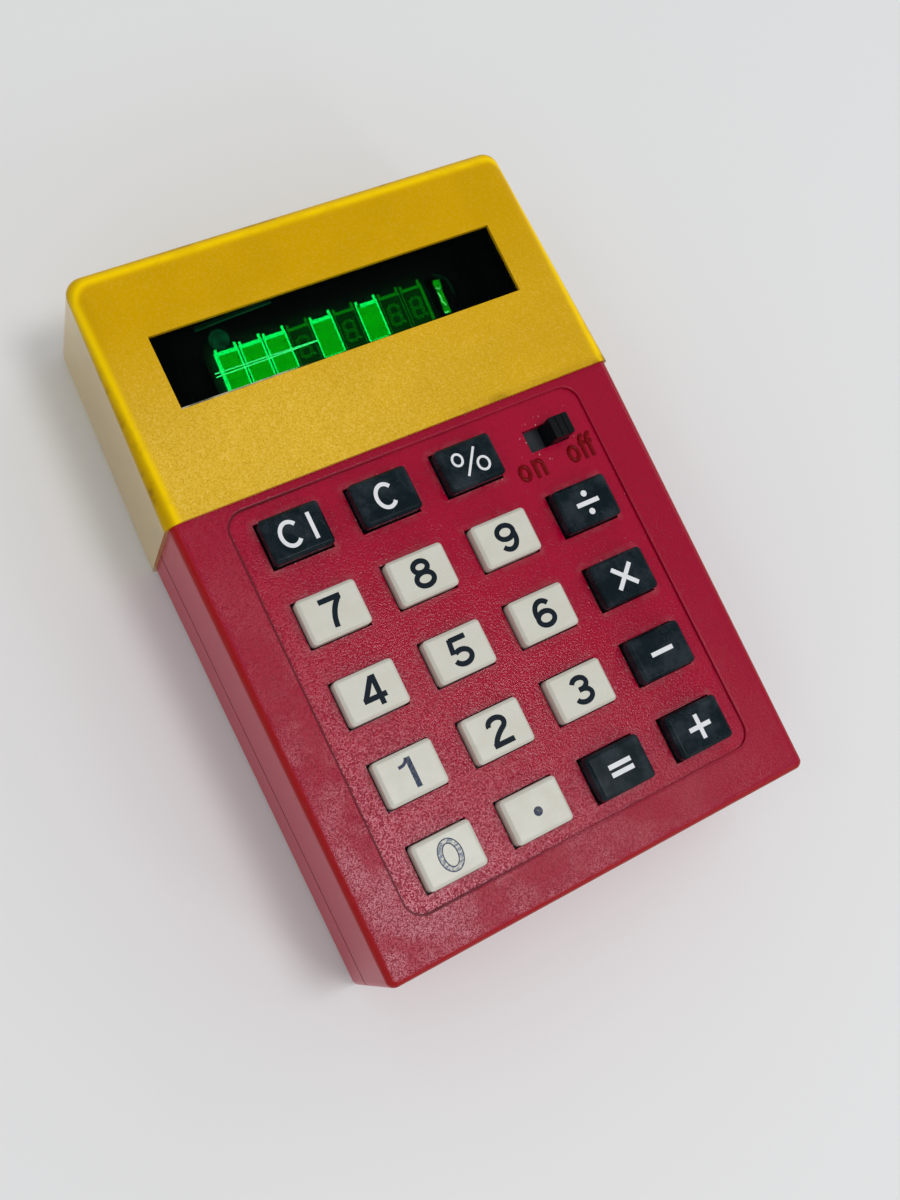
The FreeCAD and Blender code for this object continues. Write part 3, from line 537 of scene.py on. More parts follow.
def key_plastic(name, finish, colours, wear, level, roughness):
    """Glossy moulded plastic, dull in patches, with hairline scratches, painted shade at its foot and painted
    near black below the panel.
    """
    plastic, worn, scratch, foot_shade_colour = colours
    material, nodes, shader = recipe(name, {"Specular IOR Level": level})
    place = nodes.object_place()
    scratches = nodes.use(hair_scratches, Vector=place, Width=0.006)["Lines"]
    cloud = nodes.ramp(nodes.noise(place, 260.0, 4.0, 0.6), 0.4, 0.7)
    _, _, z = nodes.split(place)
    foot = nodes.ramp(z, PANEL, PANEL + 1.1 * MM, 1.0, 0.0)
    sunk = nodes.ramp(z, PANEL - 0.6 * MM, PANEL - 0.1 * MM, 1.0, 0.0)
    colour = nodes.over(plastic, worn, cloud, wear)
    colour = nodes.over(colour, scratch, scratches, 0.4)
    # Painted shade at the foot of a key, down in its hole
    colour = nodes.over(colour, foot_shade_colour, foot, 0.5)
    # Painted shade: near black below the panel
    nodes.feed(shader, "Base Color", nodes.blend(sunk, colour, finish.hidden))
    rough = nodes.math("MULTIPLY_ADD", cloud, 0.06, roughness)
    nodes.feed(shader, "Roughness", nodes.math("MULTIPLY_ADD", scratches, 0.2, rough))
    bump(nodes, shader, nodes.noise(place, 900.0, 2.0), 0.006 * MM)
    return material


def plain(name, colour, roughness, **others):
    """A material whose values are the same all over, with a slight unevenness in its colour."""
    sockets = {"Roughness": roughness, "Specular IOR Level": 0.08, **others}
    material, nodes, shader = recipe(name, sockets)
    cloud = nodes.noise(nodes.object_place(), 700.0, 3.0, 0.6)
    darker = tuple(c * 0.82 for c in colour)
    nodes.feed(shader, "Base Color", nodes.blend(cloud, darker, colour))
    return material


def worn_print(name, colour, low, high, gaps=0.0):
    """Printing ink that wears off in streaks. Its gaps are as solid as gaps says."""
    sockets = {"Base Color": colour, "Roughness": 0.4, "Specular IOR Level": 0.08}
    material, nodes, shader = recipe(name, sockets)
    place = nodes.object_place()
    streaks = nodes.noise(nodes.stretched(place, (1.0, 0.5, 1.0), 0.5), 1300.0, 4.0, 0.7)
    nodes.feed(shader, "Alpha", nodes.ramp(streaks, low, high, gaps, 1.0))
    return material


def glowing(name, colour, strength, uneven=0.0):
    """Black plate that shines with a colour, evenly or in patches."""
    sockets = {"Base Color": (0.004, 0.006, 0.005), "Roughness": 0.6, "Specular IOR Level": 0.0}
    material, nodes, shader = recipe(name, sockets)
    nodes.feed(shader, "Emission Strength", strength)
    if uneven:
        patches = nodes.ramp(nodes.noise(nodes.object_place(), 900.0, 3.0, 0.6), 0.3, 0.7, 1.0 - uneven, 1.0)
        dark = tuple(c * (1.0 - uneven) for c in colour)
        nodes.feed(shader, "Emission Color", nodes.blend(patches, dark, colour))
    else:
        nodes.feed(shader, "Emission Color", colour)
    return material


# Modelling


def coat(mesh, material):
    mesh.materials.clear()
    mesh.materials.append(material)


def coat_nodes(materials):
    """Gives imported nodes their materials, by name."""
    for node, material in materials.items():
        coat(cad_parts[node].data, material)


def new_object(name, data):
    made = bpy.data.objects.new(name, data)
    bpy.context.scene.collection.objects.link(made)
    return made


def add_piece(mesh, name, body, material, replaces=()):
    """Puts a finished mesh in the scene as a piece that moves with a body."""
    piece = new_object(name, mesh)
    coat(mesh, material)
    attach(piece, body)
    if replaces:
        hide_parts(*replaces)
    return piece


def finished(bm, name, body, material, replaces=(), crease=35):
    """Turns a bmesh into a piece, shaded smooth across its rounds and flat on its faces."""
    for face in bm.faces:
        face.smooth = True
    for edge in bm.edges:
        edge.smooth = edge.is_manifold and edge.calc_face_angle(0.0) < math.radians(crease)
    mesh = bpy.data.meshes.new(name)
    bm.to_mesh(mesh)
    bm.free()
    piece = add_piece(mesh, name, body, material, replaces)
    weighted = piece.modifiers.new("Flat faces stay flat", "WEIGHTED_NORMAL")
    weighted.keep_sharp = True
    return piece


def joined(node):
    """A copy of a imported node's mesh with its loose triangles joined."""
    bm = bmesh.new()
    bm.from_mesh(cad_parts[node].data)
    bmesh.ops.remove_doubles(bm, verts=bm.verts, dist=0.002 * MM)
    return bm


def smooth_copy(node, name, body, material):
    """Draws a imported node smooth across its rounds."""
    finished(joined(node), name, body, material, [node])


def cut(bm, place, across, **clear):
    """Cuts a mesh along a plane. Vertices that are nearly in the plane count as in it."""
    bmesh.ops.bisect_plane(
        bm,
        geom=bm.verts[:] + bm.edges[:] + bm.faces[:],
        dist=0.004 * MM,
        plane_co=place,
        plane_no=across,
        **clear,
    )


def cuboid(bm, low, high):
    """Adds a box between two corners."""
    low, high = Vector(low), Vector(high)
    place = Matrix.Translation((low + high) / 2) @ Matrix.Diagonal((*(high - low), 1))
    bmesh.ops.create_cube(bm, size=1, matrix=place)


def flat_bar(bm, start, end, width, thickness):
    """Adds a thin straight bar from start to end, flat across +Z."""
    start, end = Vector(start), Vector(end)
    run = end - start
    turn = Matrix.Rotation(math.atan2(run.y, run.x), 4, "Z")
    size = Matrix.Diagonal((run.length, width, thickness, 1))
    bmesh.ops.create_cube(bm, size=1, matrix=Matrix.Translation((start + end) / 2) @ turn @ size)


def disc(bm, x, y, z, radius, depth, sides=24):
    place = Matrix.Translation((x, y, z))
    bmesh.ops.create_cone(
        bm, cap_ends=True, segments=sides, radius1=radius, radius2=radius, depth=depth, matrix=place
    )


def bevel(bm, edges, offset, segments):
    bmesh.ops.bevel(
        bm,
        geom=edges,
        offset=offset,
        offset_type="OFFSET",
        segments=segments,
        profile=0.5,
        affect="EDGES",
        material=-1,
    )


def level_edges(bm, z):
    """The edges that lie flat at height z."""
    return [e for e in bm.edges if all(abs(v.co.z - z) < NEAR for v in e.verts)]


def upright_edges(bm, low, high):
    """The edges that stand between two heights."""
    found = []
    for edge in bm.edges:
        heights = sorted(v.co.z for v in edge.verts)
        if abs(heights[0] - low) < NEAR and abs(heights[1] - high) < NEAR:
            found.append(edge)
    return found


def arc(x, y, across, up, start, end, steps):
    """Points on part of an oval, its centre, half-axes and angles given."""
    points = []
    for i in range(steps + 1):
        angle = math.radians(start + (end - start) * i / steps)
        points.append((x + across * math.cos(angle), y + up * math.sin(angle)))
    return points


def curved(first, handle, last, steps=10):
    """Points on a curve from first to last, drawn towards a handle on the way."""
    points = []
    for i in range(steps + 1):
        t = i / steps
        points.append(
            tuple((1 - t) ** 2 * a + 2 * t * (1 - t) * b + t * t * c for a, b, c in zip(first, handle, last))
        )
    return points


# Each stroke lies this much above the one before, so that no two share a plane where they cross
STROKE_STEP = 0.004 * MM


def strokes_mesh(name, strokes, centre, z, width, depth, rounded=False):
    """A mesh of flat or round strokes, each a list of points in millimetres from the centre."""
    curve = bpy.data.curves.new(name, "CURVE")
    curve.dimensions = "3D"
    curve.twist_mode = "Z_UP"
    curve.use_fill_caps = True
    curve.bevel_depth = depth / 2
    curve.extrude = 0 if rounded else width / 2 - depth / 2
    curve.bevel_resolution = 3 if rounded else 0
    for number, points in enumerate(strokes):
        closed = math.dist(points[0], points[-1]) < 0.01
        if closed:
            points = points[:-1]
        spline = curve.splines.new("POLY")
        spline.points.add(len(points) - 1)
        spline.use_cyclic_u = closed
        spline.use_smooth = rounded
        for point, (x, y) in zip(spline.points, points):
            point.co = (centre[0] + x * MM, centre[1] + y * MM, z + number * STROKE_STEP, 1)
            point.tilt = math.pi / 2
    holder = new_object(name, curve)
    ready = holder.evaluated_get(bpy.context.evaluated_depsgraph_get())
    mesh = bpy.data.meshes.new_from_object(ready)
    mesh.name = name
    bpy.data.objects.remove(holder)
    bpy.data.curves.remove(curve)
    return mesh


# Keys


def moulded_key(name, finish, material):
    """One key: rounded skirt, bevelled top with soft creases, flange and pin."""
    low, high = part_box(name)
    flange_top = FACE - finish.flange_depth
    flange_low = flange_top - finish.flange_thickness
    bm = bmesh.new()
    cuboid(bm, (low.x, low.y, flange_low), (high.x, high.y, flange_top))
    top = max(bm.faces, key=lambda face: face.calc_center_median().z)
    bottom = min(bm.faces, key=lambda face: face.calc_center_median().z)
    bmesh.ops.inset_region(bm, faces=[top], thickness=finish.flange_margin, use_even_offset=True)
    skirt = bmesh.ops.extrude_discrete_faces(bm, faces=[top])["faces"][0]
    bmesh.ops.translate(bm, verts=skirt.verts, vec=(0, 0, high.z - flange_top))
    bmesh.ops.inset_region(bm, faces=[bottom], thickness=finish.flange_margin, use_even_offset=True)
    across, along = (side - 2 * finish.flange_margin for side in (high - low)[:2])
    narrow = (finish.pin_width / across, finish.pin_width / along, 1)
    bmesh.ops.scale(bm, vec=narrow, verts=bottom.verts, space=Matrix.Translation(-middle(name)))
    pin = bmesh.ops.extrude_discrete_faces(bm, faces=[bottom])["faces"][0]
    bmesh.ops.translate(bm, verts=pin.verts, vec=(0, 0, low.z - flange_low))
    bevel(bm, upright_edges(bm, flange_top, high.z), finish.corner, 5)
    bevel(bm, level_edges(bm, high.z), finish.bevel, 1)
    creases = level_edges(bm, high.z) + level_edges(bm, high.z - finish.bevel)
    bevel(bm, creases, finish.crease, 3)
    bmesh.ops.recalc_face_normals(bm, faces=bm.faces)
    finished(bm, name + "_cap", name, material, [name], crease=50)


def nine_strokes():
    ring = arc(0.02, 0.82, 1.38, 1.1, 0, 360, 26)
    tail = arc(-0.06, -0.12, 1.46, 1.84, 22, -140, 18)
    return [ring, tail]


# Strokes of the legends, in millimetres from the middle of a key's top
DIGITS = {
    "key_1": [[(0.36, -2.34), (0.36, 2.34)]],
    "key_2": [
        arc(0, 1.02, 1.32, 0.92, 190, -30, 16) + curved((1.0, 0.35), (-0.9, -0.75), (-1.3, -1.9)),
        [(-1.75, -2.0), (1.75, -2.0)],
    ],
    "key_3": [
        arc(-0.05, 1.02, 1.22, 0.92, 165, -90, 16), arc(-0.05, -0.9, 1.4, 1.0, 90, -165, 18),
        [(-0.5, 0.1), (0.1, 0.1)],
    ],
    "key_4": [[(0.86, -2.34), (0.86, 2.34)], [(0.62, 2.16), (-1.5, -0.9)], [(-1.88, -0.98), (1.9, -0.98)]],
    "key_5": [
        [(-1.1, 2.04), (1.62, 2.04)], [(-1.02, 2.3), (-1.3, -0.1)],
        arc(0.02, -0.86, 1.42, 1.1, 132, -165, 20),
    ],
    "key_6": [[(-x, -y) for x, y in stroke] for stroke in nine_strokes()],
    "key_7": [[(-1.8, 2.0), (1.8, 2.0)], curved((1.5, 1.9), (-0.4, 0.2), (-0.5, -2.34))],
    "key_8": [arc(0, 1.06, 1.18, 0.9, 0, 360, 26), arc(0, -0.92, 1.42, 1.06, 0, 360, 28)],
    "key_9": nine_strokes(),
}
ONE_FLAG = curved((-1.5, 1.36), (-0.2, 1.3), (0.1, 2.34))
ZERO_OUTLINES = [arc(0.05, 0, 1.9, 2.46, 0, 360, 36), arc(0.05, 0, 1.1, 1.75, 0, 360, 32)]
ZERO_RING = [arc(0.05, 0, 1.5, 2.1, 0, 360, 36)]
# Line width in millimetres, and strokes
SIGNS = {
    "key_clear_indicate": (0.64, [arc(-1.1, 0, 1.52, 1.86, 40, 320, 24), [(2.5, -2.14), (2.5, 2.14)]]),
    "key_clear": (0.64, [arc(-0.1, 0, 1.5, 1.86, 40, 320, 24)]),
    "key_percent": (0.4, [
        arc(-1.98, 0.98, 0.84, 0.96, 0, 360, 24), arc(1.86, -0.92, 0.96, 1.06, 0, 360, 24),
        [(-1.35, -2.0), (1.42, 2.1)],
    ]),
    "key_divide": (0.74, [[(-2.04, 0), (2.04, 0)]]),
    "key_times": (0.74, [[(-1.75, -1.75), (1.75, 1.75)], [(-1.75, 1.75), (1.75, -1.75)]]),
    "key_minus": (0.74, [[(-2.0, 0), (2.0, 0)]]),
    "key_plus": (0.74, [[(-2.0, 0), (2.0, 0)], [(0, -2.0), (0, 2.0)]]),
    "key_equals": (0.76, [[(-2.0, 0.63), (2.0, 0.63)], [(-2.0, -0.63), (2.0, -0.63)]]),
}


class CALCULATOR_OT_shells(bpy.types.Operator):
    """Smooth the two red shells and the battery door and give them their grain and dust"""

    bl_idname = "calculator.shells"
    bl_label = "Finish the red shells"

    def execute(self, context):
        red = red_plastic(context.scene.calculator_shells)
        smooth_copy("front_shell", "case_front", "case", red)
        smooth_copy("rear_shell", "case_back", "case", red)
        smooth_copy("battery_door", "battery_door_plate", "battery_door", red)
        return {"FINISHED"}


class CALCULATOR_OT_cap(bpy.types.Operator):
    """Smooth the sleeve cap over the display end and give it its gold front"""

    bl_idname = "calculator.cap"
    bl_label = "Finish the cap"

    def execute(self, context):
        gold = gold_plastic(context.scene.calculator_shells)
        smooth_copy("display_cap", "cap_sleeve", "case", gold)
        return {"FINISHED"}


class CALCULATOR_OT_keys(bpy.types.Operator):
    """Mould the nineteen keys over the plain ones of the construction model"""

    bl_idname = "calculator.keys"
    bl_label = "Mould the keys"

    def execute(self, context):
        finish = context.scene.calculator_keys
        light = (finish.cream, finish.worn_cream, finish.scratch, finish.soiled)
        dark = (finish.dark, finish.worn_dark, finish.worn_dark, finish.shaded)
        cream_key = key_plastic("cream_key", finish, light, 0.16, 0.14, 0.24)
        dark_key = key_plastic("dark_key", finish, dark, 0.3, 0.08, 0.16)
        for name in KEYS:
            moulded_key(name, finish, cream_key if name in DIGIT_KEYS else dark_key)
        return {"FINISHED"}


class CALCULATOR_OT_legends(bpy.types.Operator):
    """Print the digits and signs on the keys"""

    bl_idname = "calculator.legends"
    bl_label = "Print the legends"

    def execute(self, context):
        finish = context.scene.calculator_keys
        navy = plain("navy_print", finish.navy, 0.4)
        white = plain("white_print", finish.white, 0.4)
        faded = worn_print("faded_print", finish.faded, 0.36, 0.58, 0.6)
        ghost = worn_print("ghost_print", finish.ghost, 0.36, 0.7)

        def print_on(key, part, strokes, width, ink, lift=0.0):
            name = f"{key}_{part}"
            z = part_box(key)[1].z + lift
            mesh = strokes_mesh(name, strokes, middle(key), z, width, finish.film)
            add_piece(mesh, name, key, ink)

        for key, strokes in DIGITS.items():
            print_on(key, "digit", strokes, finish.digit_stroke, faded if key == "key_1" else navy)
        print_on("key_1", "flag", [ONE_FLAG], 0.5 * MM, faded, STROKE_STEP)
        print_on("key_0", "digit", ZERO_RING, 0.72 * MM, ghost)
        print_on("key_0", "outline", ZERO_OUTLINES, 0.16 * MM, faded, STROKE_STEP)
        for key, (width, strokes) in SIGNS.items():
            print_on(key, "sign", strokes, width * MM, white)
        for key, spots, radius, ink in (
            ("key_point", [(0.0, -0.2)], 0.72, faded),
            ("key_divide", [(0, 1.56), (0, -1.56)], 0.52, white),
        ):
            bm = bmesh.new()
            centre = middle(key)
            for x, y in spots:
                disc(bm, centre.x + x * MM, centre.y + y * MM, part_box(key)[1].z, radius * MM, finish.film)
            finished(bm, key + "_spots", key, ink)
        return {"FINISHED"}


# Switch

# The knob stands on its plate, and the plate's pin goes down into the switch's body.
# The places of the grooves and the words are in millimetres.
KNOB_HALF = 1.8 * MM
KNOB_CORNER = 0.3 * MM
KNOB_ROUND = 0.22 * MM
KNOB_FOOT = FACE - 2.2 * MM
PLATE_TOP = FACE - 2.1 * MM
PLATE_THICKNESS = 0.7 * MM
PIN_HALF = (1.5 * MM, 1.1 * MM)
GROOVES = (-0.58, 0.62)
GROOVE_HALF = 0.11
WORD_DROP = 4.5


def word_strokes():
    """The words below the switch, as strokes in millimetres from the middle of its slot."""
    o = arc(0, 0, 0.8, 1.16, 0, 360, 22)
    n = [[(0, -1.54), (0, 1.5)], arc(0.72, 0.36, 0.72, 0.84, 165, 0, 12) + [(1.44, -1.54)]]
    f = [arc(0.62, 1.55, 0.62, 0.78, 75, 180, 8) + [(0, -1.54)], [(-0.45, 1.12), (0.62, 1.12)]]
    words = []
    for letter, x in (([o], -6.25), (n, -4.2), ([o], 3.1), (f, 5.05), (f, 6.35)):
        words += [[(px + x, py - WORD_DROP) for px, py in stroke] for stroke in letter]
    return words


class CALCULATOR_OT_switch(bpy.types.Operator):
    """Make the ribbed knob, the plate in its slot and the raised words below it"""

    bl_idname = "calculator.switch"
    bl_label = "Make the switch"

    def execute(self, context):
        finish = context.scene.calculator_switch
        low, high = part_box("switch_knob")
        x, y, _ = middle("switch_knob")
        bm = bmesh.new()
        cuboid(bm, (x - KNOB_HALF, y - KNOB_HALF, KNOB_FOOT), (x + KNOB_HALF, y + KNOB_HALF, high.z))
        bevel(bm, upright_edges(bm, KNOB_FOOT, high.z), KNOB_CORNER, 3)
        bevel(bm, level_edges(bm, high.z), KNOB_ROUND, 3)
        for groove in GROOVES:
            for side in (-GROOVE_HALF, 0, GROOVE_HALF):
                cut(bm, (x + (groove + side) * MM, 0, 0), (1, 0, 0))
            line = x + groove * MM
            sunk = [v for v in bm.verts if abs(v.co.x - line) < NEAR and v.co.z > high.z - KNOB_CORNER]
            bmesh.ops.translate(bm, verts=sunk, vec=(0, 0, -finish.groove))
        black = plain("switch_black", finish.black, 0.3)
        finished(bm, "switch_grip", "switch_knob", black, ["switch_knob"])
        bm = bmesh.new()
        cuboid(bm, (low.x, low.y, PLATE_TOP - PLATE_THICKNESS), (high.x, high.y, PLATE_TOP))
        half_x, half_y = PIN_HALF
        pin_top = PLATE_TOP - 0.6 * MM
        cuboid(bm, (x - half_x, y - half_y, low.z), (x + half_x, y + half_y, pin_top))
        finished(bm, "switch_plate", "switch_knob", plain("switch_plate", finish.plate, 0.6))
        stroke = finish.word_stroke
        z = PANEL + finish.word_rise - stroke / 2
        mesh = strokes_mesh("switch_words", word_strokes(), middle("switch_body"), z, 0, stroke, rounded=True)
        add_piece(mesh, "switch_words", "case", plain("raised_red", finish.word, 0.22))
        coat_nodes({"switch_body": black})
        return {"FINISHED"}


# Display

LIT = (0, 1, 2, 4, 6)
DIGIT_COUNT = 9
DIGIT_PITCH = 4.1 * MM
FIRST_DIGIT = -18.6 * MM
GRID_HALF = 1.8 * MM
GRID_LEAN = 0.06
FOIL = 0.06 * MM
PLATE_DROP = 0.5 * MM
FIGURE_DROP = 0.4 * MM
FIGURE_RISE = 2.9 * MM
BAR_HALF = 0.17
# In a net of six-sided holes: distance of the rows in pitches, and a pitch in radii of a hole
ROW_STEP = 0.866
HOLE_PITCH = 1.732
GRID_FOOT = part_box("tube_grids")[0].y + 0.9 * MM
GRID_TOP = GRID_FOOT + 6.4 * MM
GRID_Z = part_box("tube_grids")[1].z
NET_THICKNESS = 0.03 * MM

# Lines and plates beside the figures, with painted glow and painted reflections, in millimetres
HEATER_LINES = [
    [(-21.55, 36.92), (-12.0, 36.82), (-4.0, 36.64)],
    [(-21.57, 36.34), (-12.0, 36.46), (-4.0, 36.58)],
]
SPRING_PLATES = [
    ((19.35, 39.8), (19.2, 38.3), 1.25), ((19.12, 38.1), (19.1, 36.5), 0.95),
    ((19.0, 36.6), (18.95, 35.1), 1.05), ((18.78, 35.0), (18.7, 33.85), 1.3),
]
SPRING_EDGES = [
    [(18.75, 38.55), (19.05, 38.2), (19.4, 38.3)], [(18.68, 37.7), (18.8, 36.9), (18.75, 36.3)],
    [(18.55, 36.2), (18.9, 35.7), (19.0, 35.2)], [(18.15, 34.2), (18.5, 34.0), (18.95, 34.1)],
]
SPRING_ARC = [(19.2, 41.0), (20.3, 40.23), (21.23, 39.37), (21.4, 38.0), (21.35, 36.6)]
RIM_LINE = [(-22.03, 43.67), (-15.5, 44.0), (-8.92, 44.23)]
RIM_HAZE = [(-22.0, 44.05), (-8.9, 44.5)]


def leaned(x, y, z=GRID_Z):
    """A place on the grids, which lean to the right as the figures do."""
    return (x + GRID_LEAN * (y - GRID_FOOT), y, z)


def grid_mesh(bm, x0, x1, y0, y1, z, finish):
    """Adds a net of six-sided holes, trimmed to a leaning frame."""
    net = bmesh.new()
    pitch = finish.mesh_pitch
    row_pitch = pitch * ROW_STEP
    radius = pitch / HOLE_PITCH
    holes = []
    for row in range(int((y1 - y0) / row_pitch) + 3):
        for column in range(int((x1 - x0) / pitch) + 4):
            x = x0 - pitch + (column + 0.5 * (row % 2)) * pitch
            y = y0 - pitch * 0.5 + row * row_pitch
            place = Matrix.Translation((x, y, z)) @ Matrix.Rotation(math.pi / 6, 4, "Z")
            made = bmesh.ops.create_circle(net, cap_ends=True, segments=6, radius=radius, matrix=place)
            holes.extend({f for v in made["verts"] for f in v.link_faces})
    bmesh.ops.inset_individual(net, faces=holes, thickness=finish.mesh_wire / 2, use_even_offset=True)
    bmesh.ops.delete(net, geom=holes, context="FACES")
    bmesh.ops.remove_doubles(net, verts=net.verts, dist=0.005 * MM)
    for side, outwards in (
        ((x0, 0, 0), (-1, 0, 0)), ((x1, 0, 0), (1, 0, 0)), ((0, y0, 0), (0, -1, 0)), ((0, y1, 0), (0, 1, 0))
    ):
        cut(net, side, outwards, clear_outer=True)
    bmesh.ops.remove_doubles(net, verts=net.verts, dist=0.005 * MM)
    bmesh.ops.solidify(net, geom=net.faces[:], thickness=NET_THICKNESS)
    bmesh.ops.recalc_face_normals(net, faces=net.faces)
    for vert in net.verts:
        vert.co.x += GRID_LEAN * (vert.co.y - GRID_FOOT)
    carrier = bpy.data.meshes.new("net")
    net.to_mesh(carrier)
    net.free()
    bm.from_mesh(carrier)
    bpy.data.meshes.remove(carrier)


def eight_outline(x, y):
    """Outlines of the seven bars of an unlit figure and its point, as strokes in millimetres."""
    half, rise, lean = 0.86, 1.64, 0.12
    level, upright = (0.55, BAR_HALF), (BAR_HALF, 0.64)
    outlines = []
    for centre_x, centre_y, (a, b) in (
        (0, rise, level),
        (0, 0, level),
        (0, -rise, level),
        (-half, rise / 2, upright),
        (half, rise / 2, upright),
        (-half, -rise / 2, upright),
        (half, -rise / 2, upright),
    ):
        box = [(-a, -b), (a, -b), (a, b), (-a, b), (-a, -b)]
        placed = [(centre_x + px, centre_y + py) for px, py in box]
        outlines.append([(x + px + lean * (py + rise), y + py) for px, py in placed])
    outlines.append(arc(x + 1.25, y - 1.55, 0.14, 0.14, 0, 360, 8))
    return outlines


def tube_floor(finish):
    """Dark floor of the tube with a painted pool of glow round the row of figures."""
    material, nodes, shader = recipe("tube_floor", {"Base Color": srgb(3, 5, 5), "Roughness": 0.5})
    place = nodes.object_place()
    x, y, _ = nodes.split(place)
    along_row = nodes.between(x, -21.0 * MM, 17.5 * MM, 1.4 * MM)
    across_row = nodes.between(y, GRID_FOOT - 0.6 * MM, GRID_TOP + 1.4 * MM, 1.5 * MM)
    patches = nodes.ramp(nodes.noise(place, 350.0, 3.0, 0.6), 0.3, 0.7, 0.4, 1.0)
    nodes.feed(shader, "Emission Color", nodes.over((0, 0, 0), finish.halo, along_row, across_row, patches))
    nodes.feed(shader, "Emission Strength", finish.glow)
    return material


class CALCULATOR_OT_window(bpy.types.Operator):
    """Glaze the display with its dark filter"""

    bl_idname = "calculator.window"
    bl_label = "Glaze the display"

    def execute(self, context):
        finish = context.scene.calculator_display
        material, nodes, shader = recipe("display_filter", {"Roughness": 0.05, "Specular IOR Level": 0.02})
        place = nodes.object_place()
        x, y, _ = nodes.split(place)
        foot = middle("display_window").y - WINDOW_HEIGHT / 2
        # A pale line along the foot of the pane: dust with a painted highlight, fading to the right
        foot_band = nodes.ramp(y, foot + 0.34 * MM, foot + 0.42 * MM, 1.0, 0.0)
        patchy = nodes.ramp(nodes.noise(place, 260.0), 0.3, 0.6, 0.35, 1.0)
        dust_and_highlight = nodes.product(foot_band, nodes.ramp(x, -15 * MM, -7 * MM, 1.0, 0.0), patchy)
        nodes.feed(shader, "Base Color", nodes.blend(dust_and_highlight, finish.filter, finish.pane_dust))
        nodes.feed(shader, "Alpha", nodes.ramp(dust_and_highlight, 0, 0.6, finish.filter_density, 1.0))
        bm = joined("display_window")
        bmesh.ops.dissolve_limit(bm, angle_limit=math.radians(1), verts=bm.verts, edges=bm.edges)
        bevel(bm, level_edges(bm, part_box("display_window")[1].z), finish.pane_round, 4)
        finished(bm, "display_pane", "case", material, ["display_window"], crease=60)
        return {"FINISHED"}


